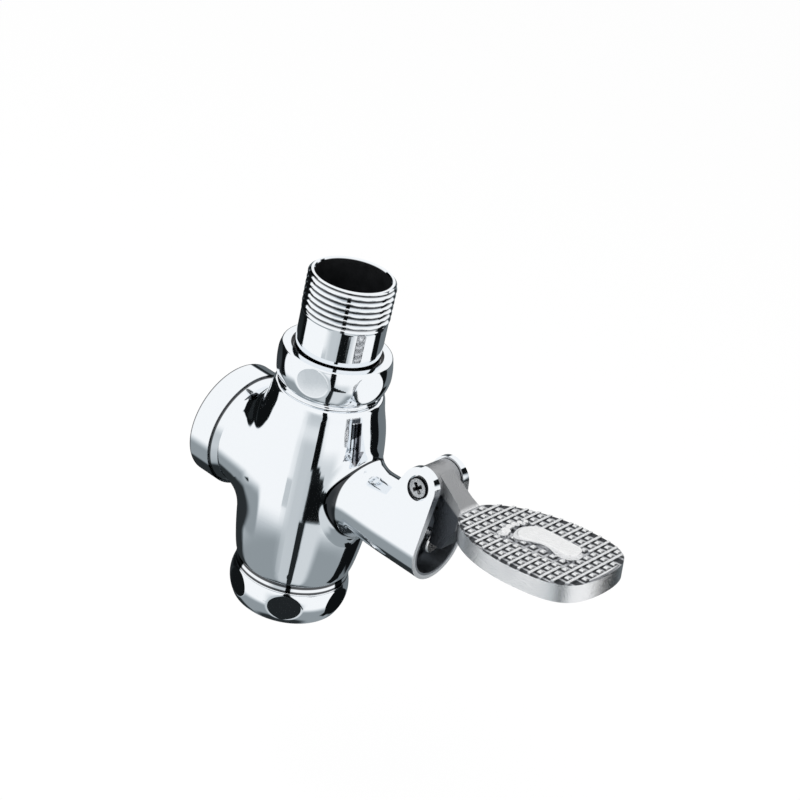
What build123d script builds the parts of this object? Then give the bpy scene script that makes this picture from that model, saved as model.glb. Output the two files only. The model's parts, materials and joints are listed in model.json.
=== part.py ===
"""Foot pedal flush valve, one inch inlet, one and a quarter inch outlet.

Water comes down the threaded inlet tail, runs round a cast sleeve and meets a piston that a
spring and the water behind it hold up against the sleeve's seat ring. The pedal is a bell crank:
its inner leg pushes a plunger through the neck, the plunger tilts the relief valve on the
piston, the chamber in the cap empties, the piston drops, and the flush leaves by the side
branch opposite the pedal. The origin is the middle of the inlet's mouth, +Z is up and +X is
towards the pedal. All sizes are in millimetres, and heights are measured from the inlet's mouth.
"""
import os
from math import asin, cos, hypot, radians, sin, sqrt

from build123d import *

os.makedirs("parts", exist_ok=True)

# Clearances
RUNNING = 0.05          # shaft in its hole, on the radius
SLIP = 0.15             # screwed and slipped fits, on the radius
TOUCH = 0.3             # between pieces that push each other when they move
EDGE = 0.8              # broken edges of the nut, the spigot and the tail
THREAD_END = 0.5        # past the last turn of a screwed piece

# Inlet tail and its union nut
INLET_THREAD_R = 16.62
INLET_THREAD_LENGTH = 16.5
TAIL_R = 16.25
TAIL_BORE_R = 14.1
TAIL_FLANGE_R = 19.0
TAIL_FLANGE = 2.5
NUT_TOP = -30.15
NUT_HEIGHT = 13.0
NUT_R = 21.9
NUT_TOP_R = 21.0
NUT_BOTTOM_R = 20.6
NUT_BELLY = 5.46         # below the nut's top, where it is widest
NUT_LIP = 3.2
NUT_RECESS_R = 18.05
NUT_RECESS = 1.2
FLAT_COUNT = 6
FLAT_DEPTH = 1.05       # how far a spanner flat cuts into the round
NUT_FLATS_TURN = -10.5  # degrees from the pedal's direction to a flat
WASHER = 2.0
STRAINER = 0.8
STRAINER_R = 15.6
STRAINER_HOLE_R = 1.5
STRAINER_PITCH = 4.2
STRAINER_ROWS = 5
SPIGOT_R = 19.25        # the body's thread inside the nut

# Body barrel, as radius at a height
BARREL_TOP = -46.0
SEAM = -126.0
BARREL_TOP_R = 20.9
BARREL_TOP_ROUND = 1.2
BARREL_SHOULDER_R = 21.6
BARREL_UPPER_R = 23.7
BARREL_MIDDLE_R = 25.8
BARREL_LOWER_R = 24.9
BARREL_WAIST_R = 21.8
BARREL_FOOT_R = 22.4
SPIGOT_BORE_R = 13.4
GALLERY_R = 21.8        # the water space round the sleeve
GALLERY_TOP = -50.0
BOSS_R = 9.0            # the plunger's way across that space

# Side branch, the outlet
BRANCH_Z = -82.9
BRANCH_REACH = 43.1     # from the barrel's axis to the mouth's face
COLLAR_R = 23.6
COLLAR_WIDTH = 10.0
COLLAR_GROOVE = 0.8
BRANCH_R = 21.2         # behind the collar
BRANCH_NECK = 3.0       # length of the groove's slope into the branch
OUTLET_THREAD_R = 19.48
OUTLET_THREAD_LENGTH = 11.0
DUCT_R = 12.5
DUCT_WALL = 2.8
DUCT_MOUTH_R = 17.0

# Sleeve inside the barrel, which the outlet duct leaves
SLEEVE_R = 12.5
SLEEVE_WALL = 2.8
SLEEVE_CROWN = 5.0      # round of its closed top
SLEEVE_CLEAR = 4.0      # where the water space narrows to the cylinder
SLEEVE_TOP = -64.5
SLEEVE_BOTTOM = -98.6

# Neck, cup and ears, towards the pedal
NECK_Z = -80.8
NECK_R = 12.7           # at the barrel's axis, from where it widens to the cup
CUP_R = 14.0
CUP_WALL = 2.4
CUP_BACK = 44.0
CUP_MOUTH = 64.0
CUP_DEPTH = 13.0
EAR_HALF = 10.0         # half the width over both ears
EAR_GAP = 13.0
EAR_R = 7.5
EAR_BACK = radians(20)  # where the ear's round meets its back edge
HUB_ROOM = 1.4          # clear of the pedal's hub behind and below
PIVOT_X = 56.1
PIVOT_Z = -57.1
NECK_FILLET = 10.0

# Cap
CAP_R = 23.5
CAP_TOP_R = 22.5
CAP_FOOT_R = 21.6
CAP_HEIGHT = 14.5
CAP_FLOOR = 4.1
CAP_BEAD = 0.9
CAP_BELLY = 6.03        # below the seam, where the cap is widest
CAP_CHAMFER = 0.9
CAP_FLATS_TURN = -54.8
CAP_THREAD_R = 19.5
CAP_THREAD_LENGTH = 7.4
CAP_BORE_R = 16.8
CYLINDER_R = 18.0
CYLINDER_TOP = -104.0
GASKET = 1.5
GASKET_R = 21.2

# Seat ring
SEAT_BORE_R = 10.6
SEAT_FLANGE = 1.6
SEAT_LIP = 0.5
SEAT_LIP_WIDTH = 1.2
SEAT_THREAD_LENGTH = 6.0

# Piston
PISTON_WASHER = 2.5
PISTON_R = 17.4
PISTON_DECK = 4.0
PISTON_LEDGE = 1.0      # of the deck under the guide
SKIRT_R = 14.0
SKIRT_LENGTH = 10.5
SKIRT_WALL = 2.0
CUP_SEAL = 3.5
CUP_SEAL_FLOOR = 1.4
CUP_SEAL_LIP = 1.0
SEAL_RING = 2.4
SEAL_RING_R = 16.2
GUIDE_HEIGHT = 6.0
GUIDE_R = 8.2
GUIDE_BORE_R = 5.7
GUIDE_THREAD_R = 7.2
RELIEF_SEAT_R = 5.2
RELIEF_LIP = 0.5
RELIEF_LIP_WIDTH = 1.0
BYPASS_R = 0.8
BYPASS_PLACE = 16.3
WING_COUNT = 4
WING_WIDTH = 2.0

# Relief valve
RELIEF_DISC_R = 7.4
RELIEF_DISC = 2.0
RELIEF_WASHER = 1.2
RELIEF_STEM_R = 2.2
RELIEF_STEM_OVER = 3.6  # how far the stem reaches above the plunger's axis
RELIEF_STEM_POINT = 0.6
CAGE_R = 11.9
CAGE = 1.6
CAGE_HOLES = 5
CAGE_HOLE_R = 2.6
CAGE_HOLE_PLACE = 7.14
SPRING_WIRE = 0.9
RELIEF_SPRING_R = 4.0
PISTON_SPRING_R = 9.5

# Plunger and its gland
PLUNGER_R = 3.0
PLUNGER_TIP = 1.5
PLUNGER_ROOM = 0.6      # round the plunger inside the casting
PLUNGER_COLLAR_R = 4.3
PLUNGER_COLLAR = 3.6
PLUNGER_FACE = 62.0     # outer face of the adjusting screw at rest
ADJUSTER_HEAD_R = 4.4
ADJUSTER_HEAD = 2.6
ADJUSTER_SHANK_R = 1.9
ADJUSTER_SHANK = 9.0
CROSS_WIDTH = 1.0
CROSS_LENGTH = 4.4
CROSS_DEPTH = 1.2
HEAD_ROUND = 0.8        # of both screws' heads
GLAND_R = 8.2
GLAND_LENGTH = 16.5
GLAND_FLANGE_R = 10.0
GLAND_FLANGE = 3.0
GLAND_SPRING_R = 5.4
GLAND_SPRING_DEPTH = 8.6
ORING = 1.8
GLAND_WASHER = 1.2

# Pivot screw
PIVOT_R = 2.5
PIVOT_HEAD_R = 4.2
PIVOT_HEAD = 1.9
PIVOT_RECESS = 1.5
PIVOT_RECESS_R = 4.7

# Pedal, a bell crank; places on its plate run outwards from the border with the arm
HUB_R = 6.6
HUB_SIDE = 0.3          # between the hub and each ear
LEG_THICKNESS = 5.4
LEG_HALF = 3.9
LEG_BOTTOM = -78.8
WEB_FRONT = 72.6
WEB_FRONT_Z = -67.0
ARM_THICKNESS = 2.4
ARM_HALF = 5.1
ARM_ROOT_HALF = 3.7
ARM_FLARE = 3.0         # length over which the arm widens into the plate
PLATE_START = 72.8
PLATE_START_Z = -59.3
PLATE_TILT = 7.0        # degrees that the plate rises outwards
PLATE_SIDE = (
    (0, 5.1), (2.1, 8.9), (6.9, 13.6), (12.6, 17.0), (22, 20.4), (32, 21.9),
    (42, 21.7), (51, 19.8), (56.5, 15.8), (59.3, 9.2), (60.2, 0),
)
OUTLINE_STEPS = 28
PLATE_THICKNESS = 2.6
PLATE_RIM = 7.5
PLATE_EDGE = 0.5
RIM_WALL = 2.2
RIB_WIDTH = 2.0         # stiffening ribs under the plate
RIB_RECESS = 1.5
RIB_PLACES = (14, 31, 47)
TREAD = 0.7
TREAD_WIDTH = 1.1
TREAD_PITCH = 4.185
TREAD_START = 0.85
TREAD_COUNT = 15
SOLE_HEIGHT = 1.2
SOLE_ROOM = (33.5, -0.6, 33, 17)        # middle, length and width of the bare part of the tread
SOLE = (
    (23.2, 4.6), (30, 6.0), (38, 5.4), (44.5, 5.0), (48.2, 2.0), (47.6, -2.8),
    (43.5, -4.6), (36.5, -2.2), (30, -3.6), (25.2, -6.2), (22.2, -2.4),
)
TOES = ((19.9, 5.2, 1.1), (19.0, 2.8, 1.2), (18.5, 0.1, 1.3), (18.7, -2.8, 1.4), (20.0, -6.4, 2.0))

# Heights and places that follow from the sizes above
NUT_BOTTOM = NUT_TOP - NUT_HEIGHT
FLANGE_TOP = NUT_TOP - NUT_LIP
FLANGE_BOTTOM = FLANGE_TOP - TAIL_FLANGE
SPIGOT_TOP = FLANGE_BOTTOM - WASHER
SLEEVE_OUT = SLEEVE_R + SLEEVE_WALL
DUCT_OUT = DUCT_R + DUCT_WALL
SEAT_FACE = SLEEVE_BOTTOM - SEAT_FLANGE - SEAT_LIP
DECK_TOP = SEAT_FACE - PISTON_WASHER
DECK_BOTTOM = DECK_TOP - PISTON_DECK
SKIRT_BOTTOM = DECK_BOTTOM - SKIRT_LENGTH
COLLAR_BACK = COLLAR_WIDTH - BRANCH_REACH
BRANCH_ROOT_R = BARREL_MIDDLE_R - 1.2
BRANCH_FILLET = 0.53 * BARREL_MIDDLE_R
CUP_FLOOR = CUP_MOUTH - CUP_DEPTH
CUP_INNER_R = CUP_R - CUP_WALL
GLAND_FACE = CUP_FLOOR + GLAND_FLANGE
GLAND_END = CUP_FLOOR - GLAND_LENGTH
CAP_BOTTOM = SEAM - CAP_HEIGHT
CAP_INSIDE = CAP_BOTTOM + CAP_FLOOR
PIVOT_SEAT = EAR_HALF - PIVOT_RECESS
LEG_BACK = PLUNGER_FACE + TOUCH
LEG_FRONT = LEG_BACK + LEG_THICKNESS
HUB_HALF = EAR_GAP / 2 - HUB_SIDE
NECK_AXIS = Axis((0, 0, NECK_Z), (1, 0, 0))
BRANCH_AXIS = Axis((0, 0, BRANCH_Z), (1, 0, 0))


def save(piece, name):
    """Labels one finished piece and writes its STEP file."""
    piece.part.label = name
    export_step(piece.part, f"parts/{name}.step")


def tube(outer, inner, low, high):
    """A plain upright ring."""
    with BuildPart() as ring:
        with BuildSketch(Plane.XY.offset(low)):
            Circle(outer)
            Circle(inner, mode=Mode.SUBTRACT)
        extrude(amount=high - low)
    return ring


def turned(points, axis=Axis.Z):
    """A solid of revolution from straight runs between points (x, z) beside the axis."""
    with BuildPart() as solid:
        with BuildSketch(Plane.XZ):
            with BuildLine():
                Polyline(*points, close=True)
            make_face()
        revolve(axis=axis)
    return solid


def teardrop(radius, half, top):
    """The cup's outline across the neck: a round bottom with straight sides up to the ears."""
    rise = PIVOT_Z - NECK_Z
    lean = asin((radius - half) / rise)
    side = (radius * cos(lean), NECK_Z + radius * sin(lean))
    head = (side[0] - (top - side[1]) * sin(lean) / cos(lean), top)
    with BuildLine() as outline:
        Line((-head[0], top), head)
        Line(head, side)
        ThreePointArc(side, (0, NECK_Z - radius), (-side[0], side[1]))
        Line((-side[0], side[1]), (-head[0], top))
    make_face(outline.edges())


# Cup with its two ears, joined to the body below
with BuildPart() as cup_form:
    with BuildSketch(Plane.YZ.offset(CUP_BACK)):
        teardrop(CUP_R, EAR_HALF, PIVOT_Z + EAR_R)
    extrude(amount=CUP_MOUTH - CUP_BACK)
    with BuildSketch(Plane.XZ):
        with BuildLine():
            Polyline(
                (PIVOT_X - EAR_R * cos(EAR_BACK), PIVOT_Z + EAR_R * sin(EAR_BACK)),
                (CUP_BACK, NECK_Z + CUP_R),
                (CUP_BACK, NECK_Z - CUP_R),
                (CUP_MOUTH, NECK_Z - CUP_R),
                (PIVOT_X + EAR_R, PIVOT_Z),
            )
            ThreePointArc(
                (PIVOT_X + EAR_R, PIVOT_Z),
                (PIVOT_X, PIVOT_Z + EAR_R),
                (PIVOT_X - EAR_R * cos(EAR_BACK), PIVOT_Z + EAR_R * sin(EAR_BACK)),
            )
        make_face()
    extrude(amount=CUP_R, both=True, mode=Mode.INTERSECT)
    with BuildSketch(Plane.YZ.offset(CUP_FLOOR)):
        teardrop(CUP_INNER_R, EAR_GAP / 2, PIVOT_Z + EAR_R)
    extrude(amount=CUP_DEPTH, mode=Mode.SUBTRACT)
    with BuildSketch(Plane.XZ):
        with BuildLine():
            Polyline(
                (PIVOT_X - HUB_R - HUB_ROOM, PIVOT_Z + EAR_R),
                (PIVOT_X - HUB_R - HUB_ROOM, PIVOT_Z - HUB_R - HUB_ROOM),
                (CUP_MOUTH, PIVOT_Z - HUB_R - HUB_ROOM),
                (CUP_MOUTH, PIVOT_Z + EAR_R),
                close=True,
            )
        make_face()
    extrude(amount=EAR_GAP / 2, both=True, mode=Mode.SUBTRACT)

# Body casting
with BuildPart() as valve_body:
    with BuildSketch(Plane.XZ):
        with BuildLine():
            Polyline((0, SEAM), (0, BARREL_TOP), (BARREL_TOP_R - BARREL_TOP_ROUND, BARREL_TOP))
            Spline(
                (BARREL_TOP_R - BARREL_TOP_ROUND, BARREL_TOP),
                (BARREL_SHOULDER_R, BARREL_TOP - 3.2),
                (BARREL_UPPER_R, BARREL_TOP - 12),
                (BARREL_MIDDLE_R, BRANCH_Z + 2),
                (BARREL_LOWER_R, SEAM + 16),
                (BARREL_WAIST_R, SEAM + 3.5),
                (BARREL_FOOT_R, SEAM),
                tangents=[(1, -0.15), (0.25, -1)],
            )
            Line((BARREL_FOOT_R, SEAM), (0, SEAM))
        make_face()
    revolve(axis=Axis.Z)
    # side branch
    with BuildSketch(Plane.XZ):
        with BuildLine():
            Polyline(
                (0, BRANCH_Z + BRANCH_ROOT_R),
                (COLLAR_BACK + BRANCH_NECK, BRANCH_Z + BRANCH_R),
                (COLLAR_BACK, BRANCH_Z + COLLAR_R - COLLAR_GROOVE),
                (COLLAR_BACK, BRANCH_Z + COLLAR_R),
                (-BRANCH_REACH, BRANCH_Z + COLLAR_R),
                (-BRANCH_REACH, BRANCH_Z),
                (0, BRANCH_Z),
                close=True,
            )
        make_face()
    revolve(axis=BRANCH_AXIS)
    fillet(valve_body.edges(Select.NEW), BRANCH_FILLET)
    # neck
    with BuildSketch(Plane.XZ):
        with BuildLine():
            Polyline(
                (0, NECK_Z),
                (0, NECK_Z + NECK_R),
                (CUP_BACK, NECK_Z + CUP_R),
                (CUP_BACK, NECK_Z),
                close=True,
            )
        make_face()
    revolve(axis=NECK_AXIS)
    fillet(valve_body.edges(Select.NEW), NECK_FILLET)
    # cup and ears
    add(cup_form.part)
    # spigot for the union nut
    with BuildSketch(Plane.XY.offset(BARREL_TOP)):
        Circle(SPIGOT_R)
    extrude(amount=SPIGOT_TOP - BARREL_TOP)
    # water space
    with BuildSketch(Plane.XZ):
        with BuildLine():
            Polyline(
                (0, SPIGOT_TOP),
                (SPIGOT_BORE_R, SPIGOT_TOP),
                (SPIGOT_BORE_R, GALLERY_TOP),
                (GALLERY_R, GALLERY_TOP - 2 * (GALLERY_R - SPIGOT_BORE_R)),
                (GALLERY_R, SLEEVE_BOTTOM + SLEEVE_CLEAR),
                (CYLINDER_R, CYLINDER_TOP),
                (CYLINDER_R, SEAM + CAP_THREAD_LENGTH + THREAD_END),
                (CAP_THREAD_R + SLIP, SEAM + CAP_THREAD_LENGTH + THREAD_END),
                (CAP_THREAD_R + SLIP, SEAM + GASKET),
                (GASKET_R, SEAM + GASKET),
                (GASKET_R, SEAM),
                (0, SEAM),
                close=True,
            )
        make_face()
    revolve(axis=Axis.Z, mode=Mode.SUBTRACT)
    # sleeve, duct to the outlet and boss for the plunger
    with BuildSketch(Plane.XY.offset(SLEEVE_BOTTOM)):
        Circle(SLEEVE_OUT)
    extrude(amount=SLEEVE_TOP - SLEEVE_BOTTOM)
    fillet(valve_body.edges(Select.LAST).filter_by(GeomType.CIRCLE).sort_by(Axis.Z)[-1], SLEEVE_CROWN)
    with BuildSketch(Plane.YZ):
        with Locations((0, BRANCH_Z)):
            Circle(DUCT_OUT)
    extrude(amount=OUTLET_THREAD_LENGTH - BRANCH_REACH)
    with BuildSketch(Plane.YZ):
        with Locations((0, NECK_Z)):
            Circle(BOSS_R)
    extrude(amount=BARREL_MIDDLE_R)
    with BuildSketch(Plane.XY.offset(SLEEVE_BOTTOM)):
        Circle(SLEEVE_R)
    extrude(amount=SLEEVE_TOP - SLEEVE_WALL - SLEEVE_BOTTOM, mode=Mode.SUBTRACT)
    with BuildSketch(Plane.XZ):
        with BuildLine():
            Polyline(
                (0, BRANCH_Z),
                (0, BRANCH_Z + DUCT_R),
                (-GALLERY_R, BRANCH_Z + DUCT_R),
                (OUTLET_THREAD_LENGTH - BRANCH_REACH, BRANCH_Z + DUCT_MOUTH_R),
                (OUTLET_THREAD_LENGTH - BRANCH_REACH, BRANCH_Z + OUTLET_THREAD_R),
                (-BRANCH_REACH, BRANCH_Z + OUTLET_THREAD_R),
                (-BRANCH_REACH, BRANCH_Z),
                close=True,
            )
        make_face()
    revolve(axis=BRANCH_AXIS, mode=Mode.SUBTRACT)
    # bore for the gland and the plunger
    with BuildSketch(Plane.YZ.offset(CUP_FLOOR)):
        with Locations((0, NECK_Z)):
            Circle(GLAND_R + SLIP)
    extrude(amount=-GLAND_LENGTH - GLAND_WASHER, mode=Mode.SUBTRACT)
    with BuildSketch(Plane.YZ):
        with Locations((0, NECK_Z)):
            Circle(PLUNGER_R + PLUNGER_ROOM)
    extrude(amount=CUP_FLOOR, mode=Mode.SUBTRACT)
    # hole for the pivot screw, its head sunk in the ear on the -Y side
    with BuildSketch(Plane.XZ):
        with Locations((PIVOT_X, PIVOT_Z)):
            Circle(PIVOT_R + SLIP)
    extrude(amount=CUP_R, both=True, mode=Mode.SUBTRACT)
    with BuildSketch(Plane.XZ.offset(PIVOT_SEAT)):
        with Locations((PIVOT_X, PIVOT_Z)):
            Circle(PIVOT_RECESS_R)
    extrude(amount=CUP_R, mode=Mode.SUBTRACT)
save(valve_body, "valve_body")

# Inlet tail, a flanged tube whose thread takes the supply pipe's fitting
with BuildPart() as inlet_tail:
    with BuildSketch(Plane.XZ):
        with BuildLine():
            Polyline(
                (TAIL_BORE_R, 0),
                (INLET_THREAD_R, 0),
                (INLET_THREAD_R, -INLET_THREAD_LENGTH),
                (TAIL_R, -INLET_THREAD_LENGTH - EDGE),
                (TAIL_R, FLANGE_TOP),
                (TAIL_FLANGE_R, FLANGE_TOP),
                (TAIL_FLANGE_R, FLANGE_BOTTOM),
                (STRAINER_R + SLIP, FLANGE_BOTTOM),
                (STRAINER_R + SLIP, FLANGE_BOTTOM + STRAINER),
                (TAIL_BORE_R, FLANGE_BOTTOM + STRAINER),
                close=True,
            )
        make_face()
    revolve(axis=Axis.Z)
save(inlet_tail, "inlet_tail")

# Union nut: a domed ring with round spanner flats, a lip over the tail's flange
with BuildPart() as union_nut:
    with BuildSketch(Plane.XZ):
        with BuildLine():
            Polyline(
                (NUT_TOP_R - EDGE, NUT_TOP),
                (NUT_RECESS_R, NUT_TOP),
                (TAIL_R + SLIP, NUT_TOP - NUT_RECESS),
                (TAIL_R + SLIP, FLANGE_TOP),
                (SPIGOT_R + SLIP, FLANGE_TOP),
                (SPIGOT_R + SLIP, NUT_BOTTOM),
                (NUT_BOTTOM_R, NUT_BOTTOM),
            )
            ThreePointArc(
                (NUT_BOTTOM_R, NUT_BOTTOM),
                (NUT_R, NUT_TOP - NUT_BELLY),
                (NUT_TOP_R, NUT_TOP - EDGE),
            )
            Line((NUT_TOP_R, NUT_TOP - EDGE), (NUT_TOP_R - EDGE, NUT_TOP))
        make_face()
    revolve(axis=Axis.Z)
    with PolarLocations(NUT_R - FLAT_DEPTH + NUT_R / 2, FLAT_COUNT, NUT_FLATS_TURN):
        with Locations((0, 0, NUT_TOP - NUT_HEIGHT / 2)):
            Box(NUT_R, NUT_R, NUT_HEIGHT, mode=Mode.SUBTRACT)
save(union_nut, "union_nut")

union_washer = tube(TAIL_FLANGE_R - TOUCH, SPIGOT_BORE_R, SPIGOT_TOP, FLANGE_BOTTOM)
save(union_washer, "union_washer")

# Inlet strainer, a perforated disc in the tail's flange
with BuildPart() as inlet_strainer:
    with BuildSketch(Plane.XY.offset(FLANGE_BOTTOM)):
        Circle(STRAINER_R)
        with HexLocations(STRAINER_PITCH / sqrt(3), STRAINER_ROWS, STRAINER_ROWS):
            RegularPolygon(STRAINER_HOLE_R, FLAT_COUNT, mode=Mode.SUBTRACT)
    extrude(amount=STRAINER)
save(inlet_strainer, "inlet_strainer")

# Cap over the piston chamber
with BuildPart() as bottom_cap:
    with BuildSketch(Plane.XZ):
        with BuildLine():
            Polyline(
                (0, CAP_INSIDE),
                (CAP_BORE_R, CAP_INSIDE),
                (CAP_BORE_R, SEAM + CAP_THREAD_LENGTH),
                (CAP_THREAD_R, SEAM + CAP_THREAD_LENGTH),
                (CAP_THREAD_R, SEAM),
                (CAP_TOP_R, SEAM),
                (CAP_TOP_R, SEAM - CAP_BEAD),
            )
            ThreePointArc(
                (CAP_TOP_R, SEAM - CAP_BEAD),
                (CAP_R, SEAM - CAP_BELLY),
                (CAP_FOOT_R, CAP_BOTTOM + 0.8 * CAP_CHAMFER),
            )
            Polyline(
                (CAP_FOOT_R, CAP_BOTTOM + 0.8 * CAP_CHAMFER),
                (CAP_FOOT_R - CAP_CHAMFER, CAP_BOTTOM),
                (0, CAP_BOTTOM),
                (0, CAP_INSIDE),
            )
        make_face()
    revolve(axis=Axis.Z)
    with PolarLocations(CAP_R - FLAT_DEPTH + CAP_R / 2, FLAT_COUNT, CAP_FLATS_TURN):
        with Locations((0, 0, SEAM - CAP_HEIGHT / 2)):
            Box(CAP_R, CAP_R, CAP_HEIGHT - 2 * CAP_BEAD, mode=Mode.SUBTRACT)
save(bottom_cap, "bottom_cap")

cap_gasket = tube(GASKET_R - SLIP, CAP_THREAD_R + SLIP, SEAM, SEAM + GASKET)
save(cap_gasket, "cap_gasket")

# Seat ring, screwed up into the sleeve, with a raised lip for the piston's washer
seat_ring = turned(
    [
        (SEAT_BORE_R, SLEEVE_BOTTOM + SEAT_THREAD_LENGTH),
        (SLEEVE_R - SLIP, SLEEVE_BOTTOM + SEAT_THREAD_LENGTH),
        (SLEEVE_R - SLIP, SLEEVE_BOTTOM),
        (SLEEVE_OUT - SLIP, SLEEVE_BOTTOM),
        (SLEEVE_OUT - SLIP, SLEEVE_BOTTOM - SEAT_FLANGE),
        (SEAT_BORE_R + SEAT_LIP_WIDTH + EDGE, SLEEVE_BOTTOM - SEAT_FLANGE),
        (SEAT_BORE_R + SEAT_LIP_WIDTH, SEAT_FACE),
        (SEAT_BORE_R, SEAT_FACE),
    ]
)
save(seat_ring, "seat_ring")

# Piston body: a deck, a boss that the guide screws into, and an open skirt
piston_body = turned(
    [
        (GUIDE_THREAD_R + SLIP, DECK_TOP),
        (PISTON_R, DECK_TOP),
        (PISTON_R, DECK_BOTTOM),
        (SKIRT_R, DECK_BOTTOM),
        (SKIRT_R, SKIRT_BOTTOM),
        (SKIRT_R - SKIRT_WALL, SKIRT_BOTTOM),
        (SKIRT_R - SKIRT_WALL, DECK_BOTTOM),
        (RELIEF_SEAT_R + RELIEF_LIP_WIDTH, DECK_BOTTOM),
        (RELIEF_SEAT_R + RELIEF_LIP_WIDTH, DECK_BOTTOM - RELIEF_LIP),
        (RELIEF_SEAT_R, DECK_BOTTOM - RELIEF_LIP),
        (RELIEF_SEAT_R, DECK_BOTTOM + PISTON_LEDGE),
        (GUIDE_THREAD_R + SLIP, DECK_BOTTOM + PISTON_LEDGE),
    ]
)
with piston_body:
    with Locations((0, -BYPASS_PLACE, 0)):
        with Locations((0, 0, (DECK_TOP + DECK_BOTTOM) / 2)):
            Cylinder(BYPASS_R, PISTON_DECK + 1, mode=Mode.SUBTRACT)
save(piston_body, "piston_body")

seat_washer = tube(SLEEVE_OUT, GUIDE_THREAD_R + SLIP, DECK_TOP, SEAT_FACE)
save(seat_washer, "seat_washer")

# Piston guide: screws into the deck, clamps the washer and runs in the seat's bore on wings
with BuildPart() as piston_guide:
    with BuildSketch(Plane.XY.offset(DECK_BOTTOM + PISTON_LEDGE)):
        Circle(GUIDE_THREAD_R)
    extrude(amount=SEAT_FACE - DECK_BOTTOM - PISTON_LEDGE)
    with BuildSketch(Plane.XY.offset(SEAT_FACE)):
        Circle(GUIDE_R)
        with PolarLocations((SEAT_BORE_R - RUNNING) / 2, WING_COUNT):
            Rectangle(SEAT_BORE_R - RUNNING, WING_WIDTH)
    extrude(amount=GUIDE_HEIGHT)
    with BuildSketch(Plane.XY.offset(DECK_BOTTOM + PISTON_LEDGE)):
        Circle(GUIDE_BORE_R)
    extrude(amount=GUIDE_HEIGHT + SEAT_FACE - DECK_BOTTOM, mode=Mode.SUBTRACT)
save(piston_guide, "piston_guide")

# Lipped rubber seal round the piston and the ring that holds it
cup_seal = turned(
    [
        (SKIRT_R + RUNNING, DECK_BOTTOM),
        (PISTON_R - SLIP, DECK_BOTTOM),
        (CYLINDER_R - RUNNING, DECK_BOTTOM - CUP_SEAL + CUP_SEAL_LIP / 2),
        (CYLINDER_R - RUNNING, DECK_BOTTOM - CUP_SEAL),
        (CYLINDER_R - CUP_SEAL_LIP, DECK_BOTTOM - CUP_SEAL),
        (SEAL_RING_R, DECK_BOTTOM - CUP_SEAL_FLOOR),
        (SKIRT_R + RUNNING, DECK_BOTTOM - CUP_SEAL_FLOOR),
    ]
)
save(cup_seal, "cup_seal")

SEAL_RING_TOP = DECK_BOTTOM - CUP_SEAL_FLOOR
seal_ring = tube(SEAL_RING_R - TOUCH, SKIRT_R + RUNNING, SEAL_RING_TOP - SEAL_RING, SEAL_RING_TOP)
save(seal_ring, "seal_ring")

# Relief valve: a disc under the piston's deck with a stem up past the plunger
RELIEF_FACE = DECK_BOTTOM - RELIEF_LIP - RELIEF_WASHER
relief_valve = turned(
    [
        (0, RELIEF_FACE - RELIEF_DISC),
        (RELIEF_DISC_R, RELIEF_FACE - RELIEF_DISC),
        (RELIEF_DISC_R, RELIEF_FACE),
        (RELIEF_STEM_R, RELIEF_FACE),
        (RELIEF_STEM_R, NECK_Z + RELIEF_STEM_OVER - RELIEF_STEM_POINT),
        (RELIEF_STEM_R - RELIEF_STEM_POINT, NECK_Z + RELIEF_STEM_OVER),
        (0, NECK_Z + RELIEF_STEM_OVER),
    ]
)
save(relief_valve, "relief_valve")

relief_washer = tube(RELIEF_DISC_R, RELIEF_STEM_R + RUNNING, RELIEF_FACE, DECK_BOTTOM - RELIEF_LIP)
save(relief_washer, "relief_washer")

# Cage across the skirt, which both springs bear on
with BuildPart() as spring_cage:
    with BuildSketch(Plane.XY.offset(SKIRT_BOTTOM)):
        Circle(SKIRT_R)
        with PolarLocations(CAGE_HOLE_PLACE, CAGE_HOLES):
            Circle(CAGE_HOLE_R, mode=Mode.SUBTRACT)
    extrude(amount=-CAGE)
    with BuildSketch(Plane.XY.offset(SKIRT_BOTTOM)):
        Circle(CAGE_R)
        Circle(CAGE_R - CAGE, mode=Mode.SUBTRACT)
    extrude(amount=CAGE)
save(spring_cage, "spring_cage")

relief_spring = tube(RELIEF_SPRING_R, RELIEF_SPRING_R - SPRING_WIRE, SKIRT_BOTTOM, RELIEF_FACE - RELIEF_DISC)
save(relief_spring, "relief_spring")

piston_spring = tube(PISTON_SPRING_R, PISTON_SPRING_R - SPRING_WIRE, CAP_INSIDE, SKIRT_BOTTOM - CAGE)
save(piston_spring, "piston_spring")

# Gland: a bush screwed into the neck from the cup, with the plunger's seal behind it
with BuildPart() as gland_bush:
    with BuildSketch(Plane.YZ.offset(GLAND_END)):
        with Locations((0, NECK_Z)):
            Circle(GLAND_R)
    extrude(amount=GLAND_LENGTH)
    with BuildSketch(Plane.YZ.offset(CUP_FLOOR)):
        with Locations((0, NECK_Z)):
            RegularPolygon(GLAND_FLANGE_R, 6)
    extrude(amount=GLAND_FLANGE)
    with BuildSketch(Plane.YZ.offset(GLAND_FACE)):
        with Locations((0, NECK_Z)):
            Circle(GLAND_SPRING_R)
    extrude(amount=-GLAND_SPRING_DEPTH, mode=Mode.SUBTRACT)
    with BuildSketch(Plane.YZ.offset(GLAND_FACE)):
        with Locations((0, NECK_Z)):
            Circle(PLUNGER_R + RUNNING)
    extrude(amount=-GLAND_FLANGE - GLAND_LENGTH, mode=Mode.SUBTRACT)
    with BuildSketch(Plane.YZ.offset(GLAND_END)):
        with Locations((0, NECK_Z)):
            Circle(PLUNGER_R + ORING)
    extrude(amount=ORING, mode=Mode.SUBTRACT)
save(gland_bush, "gland_bush")

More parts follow.
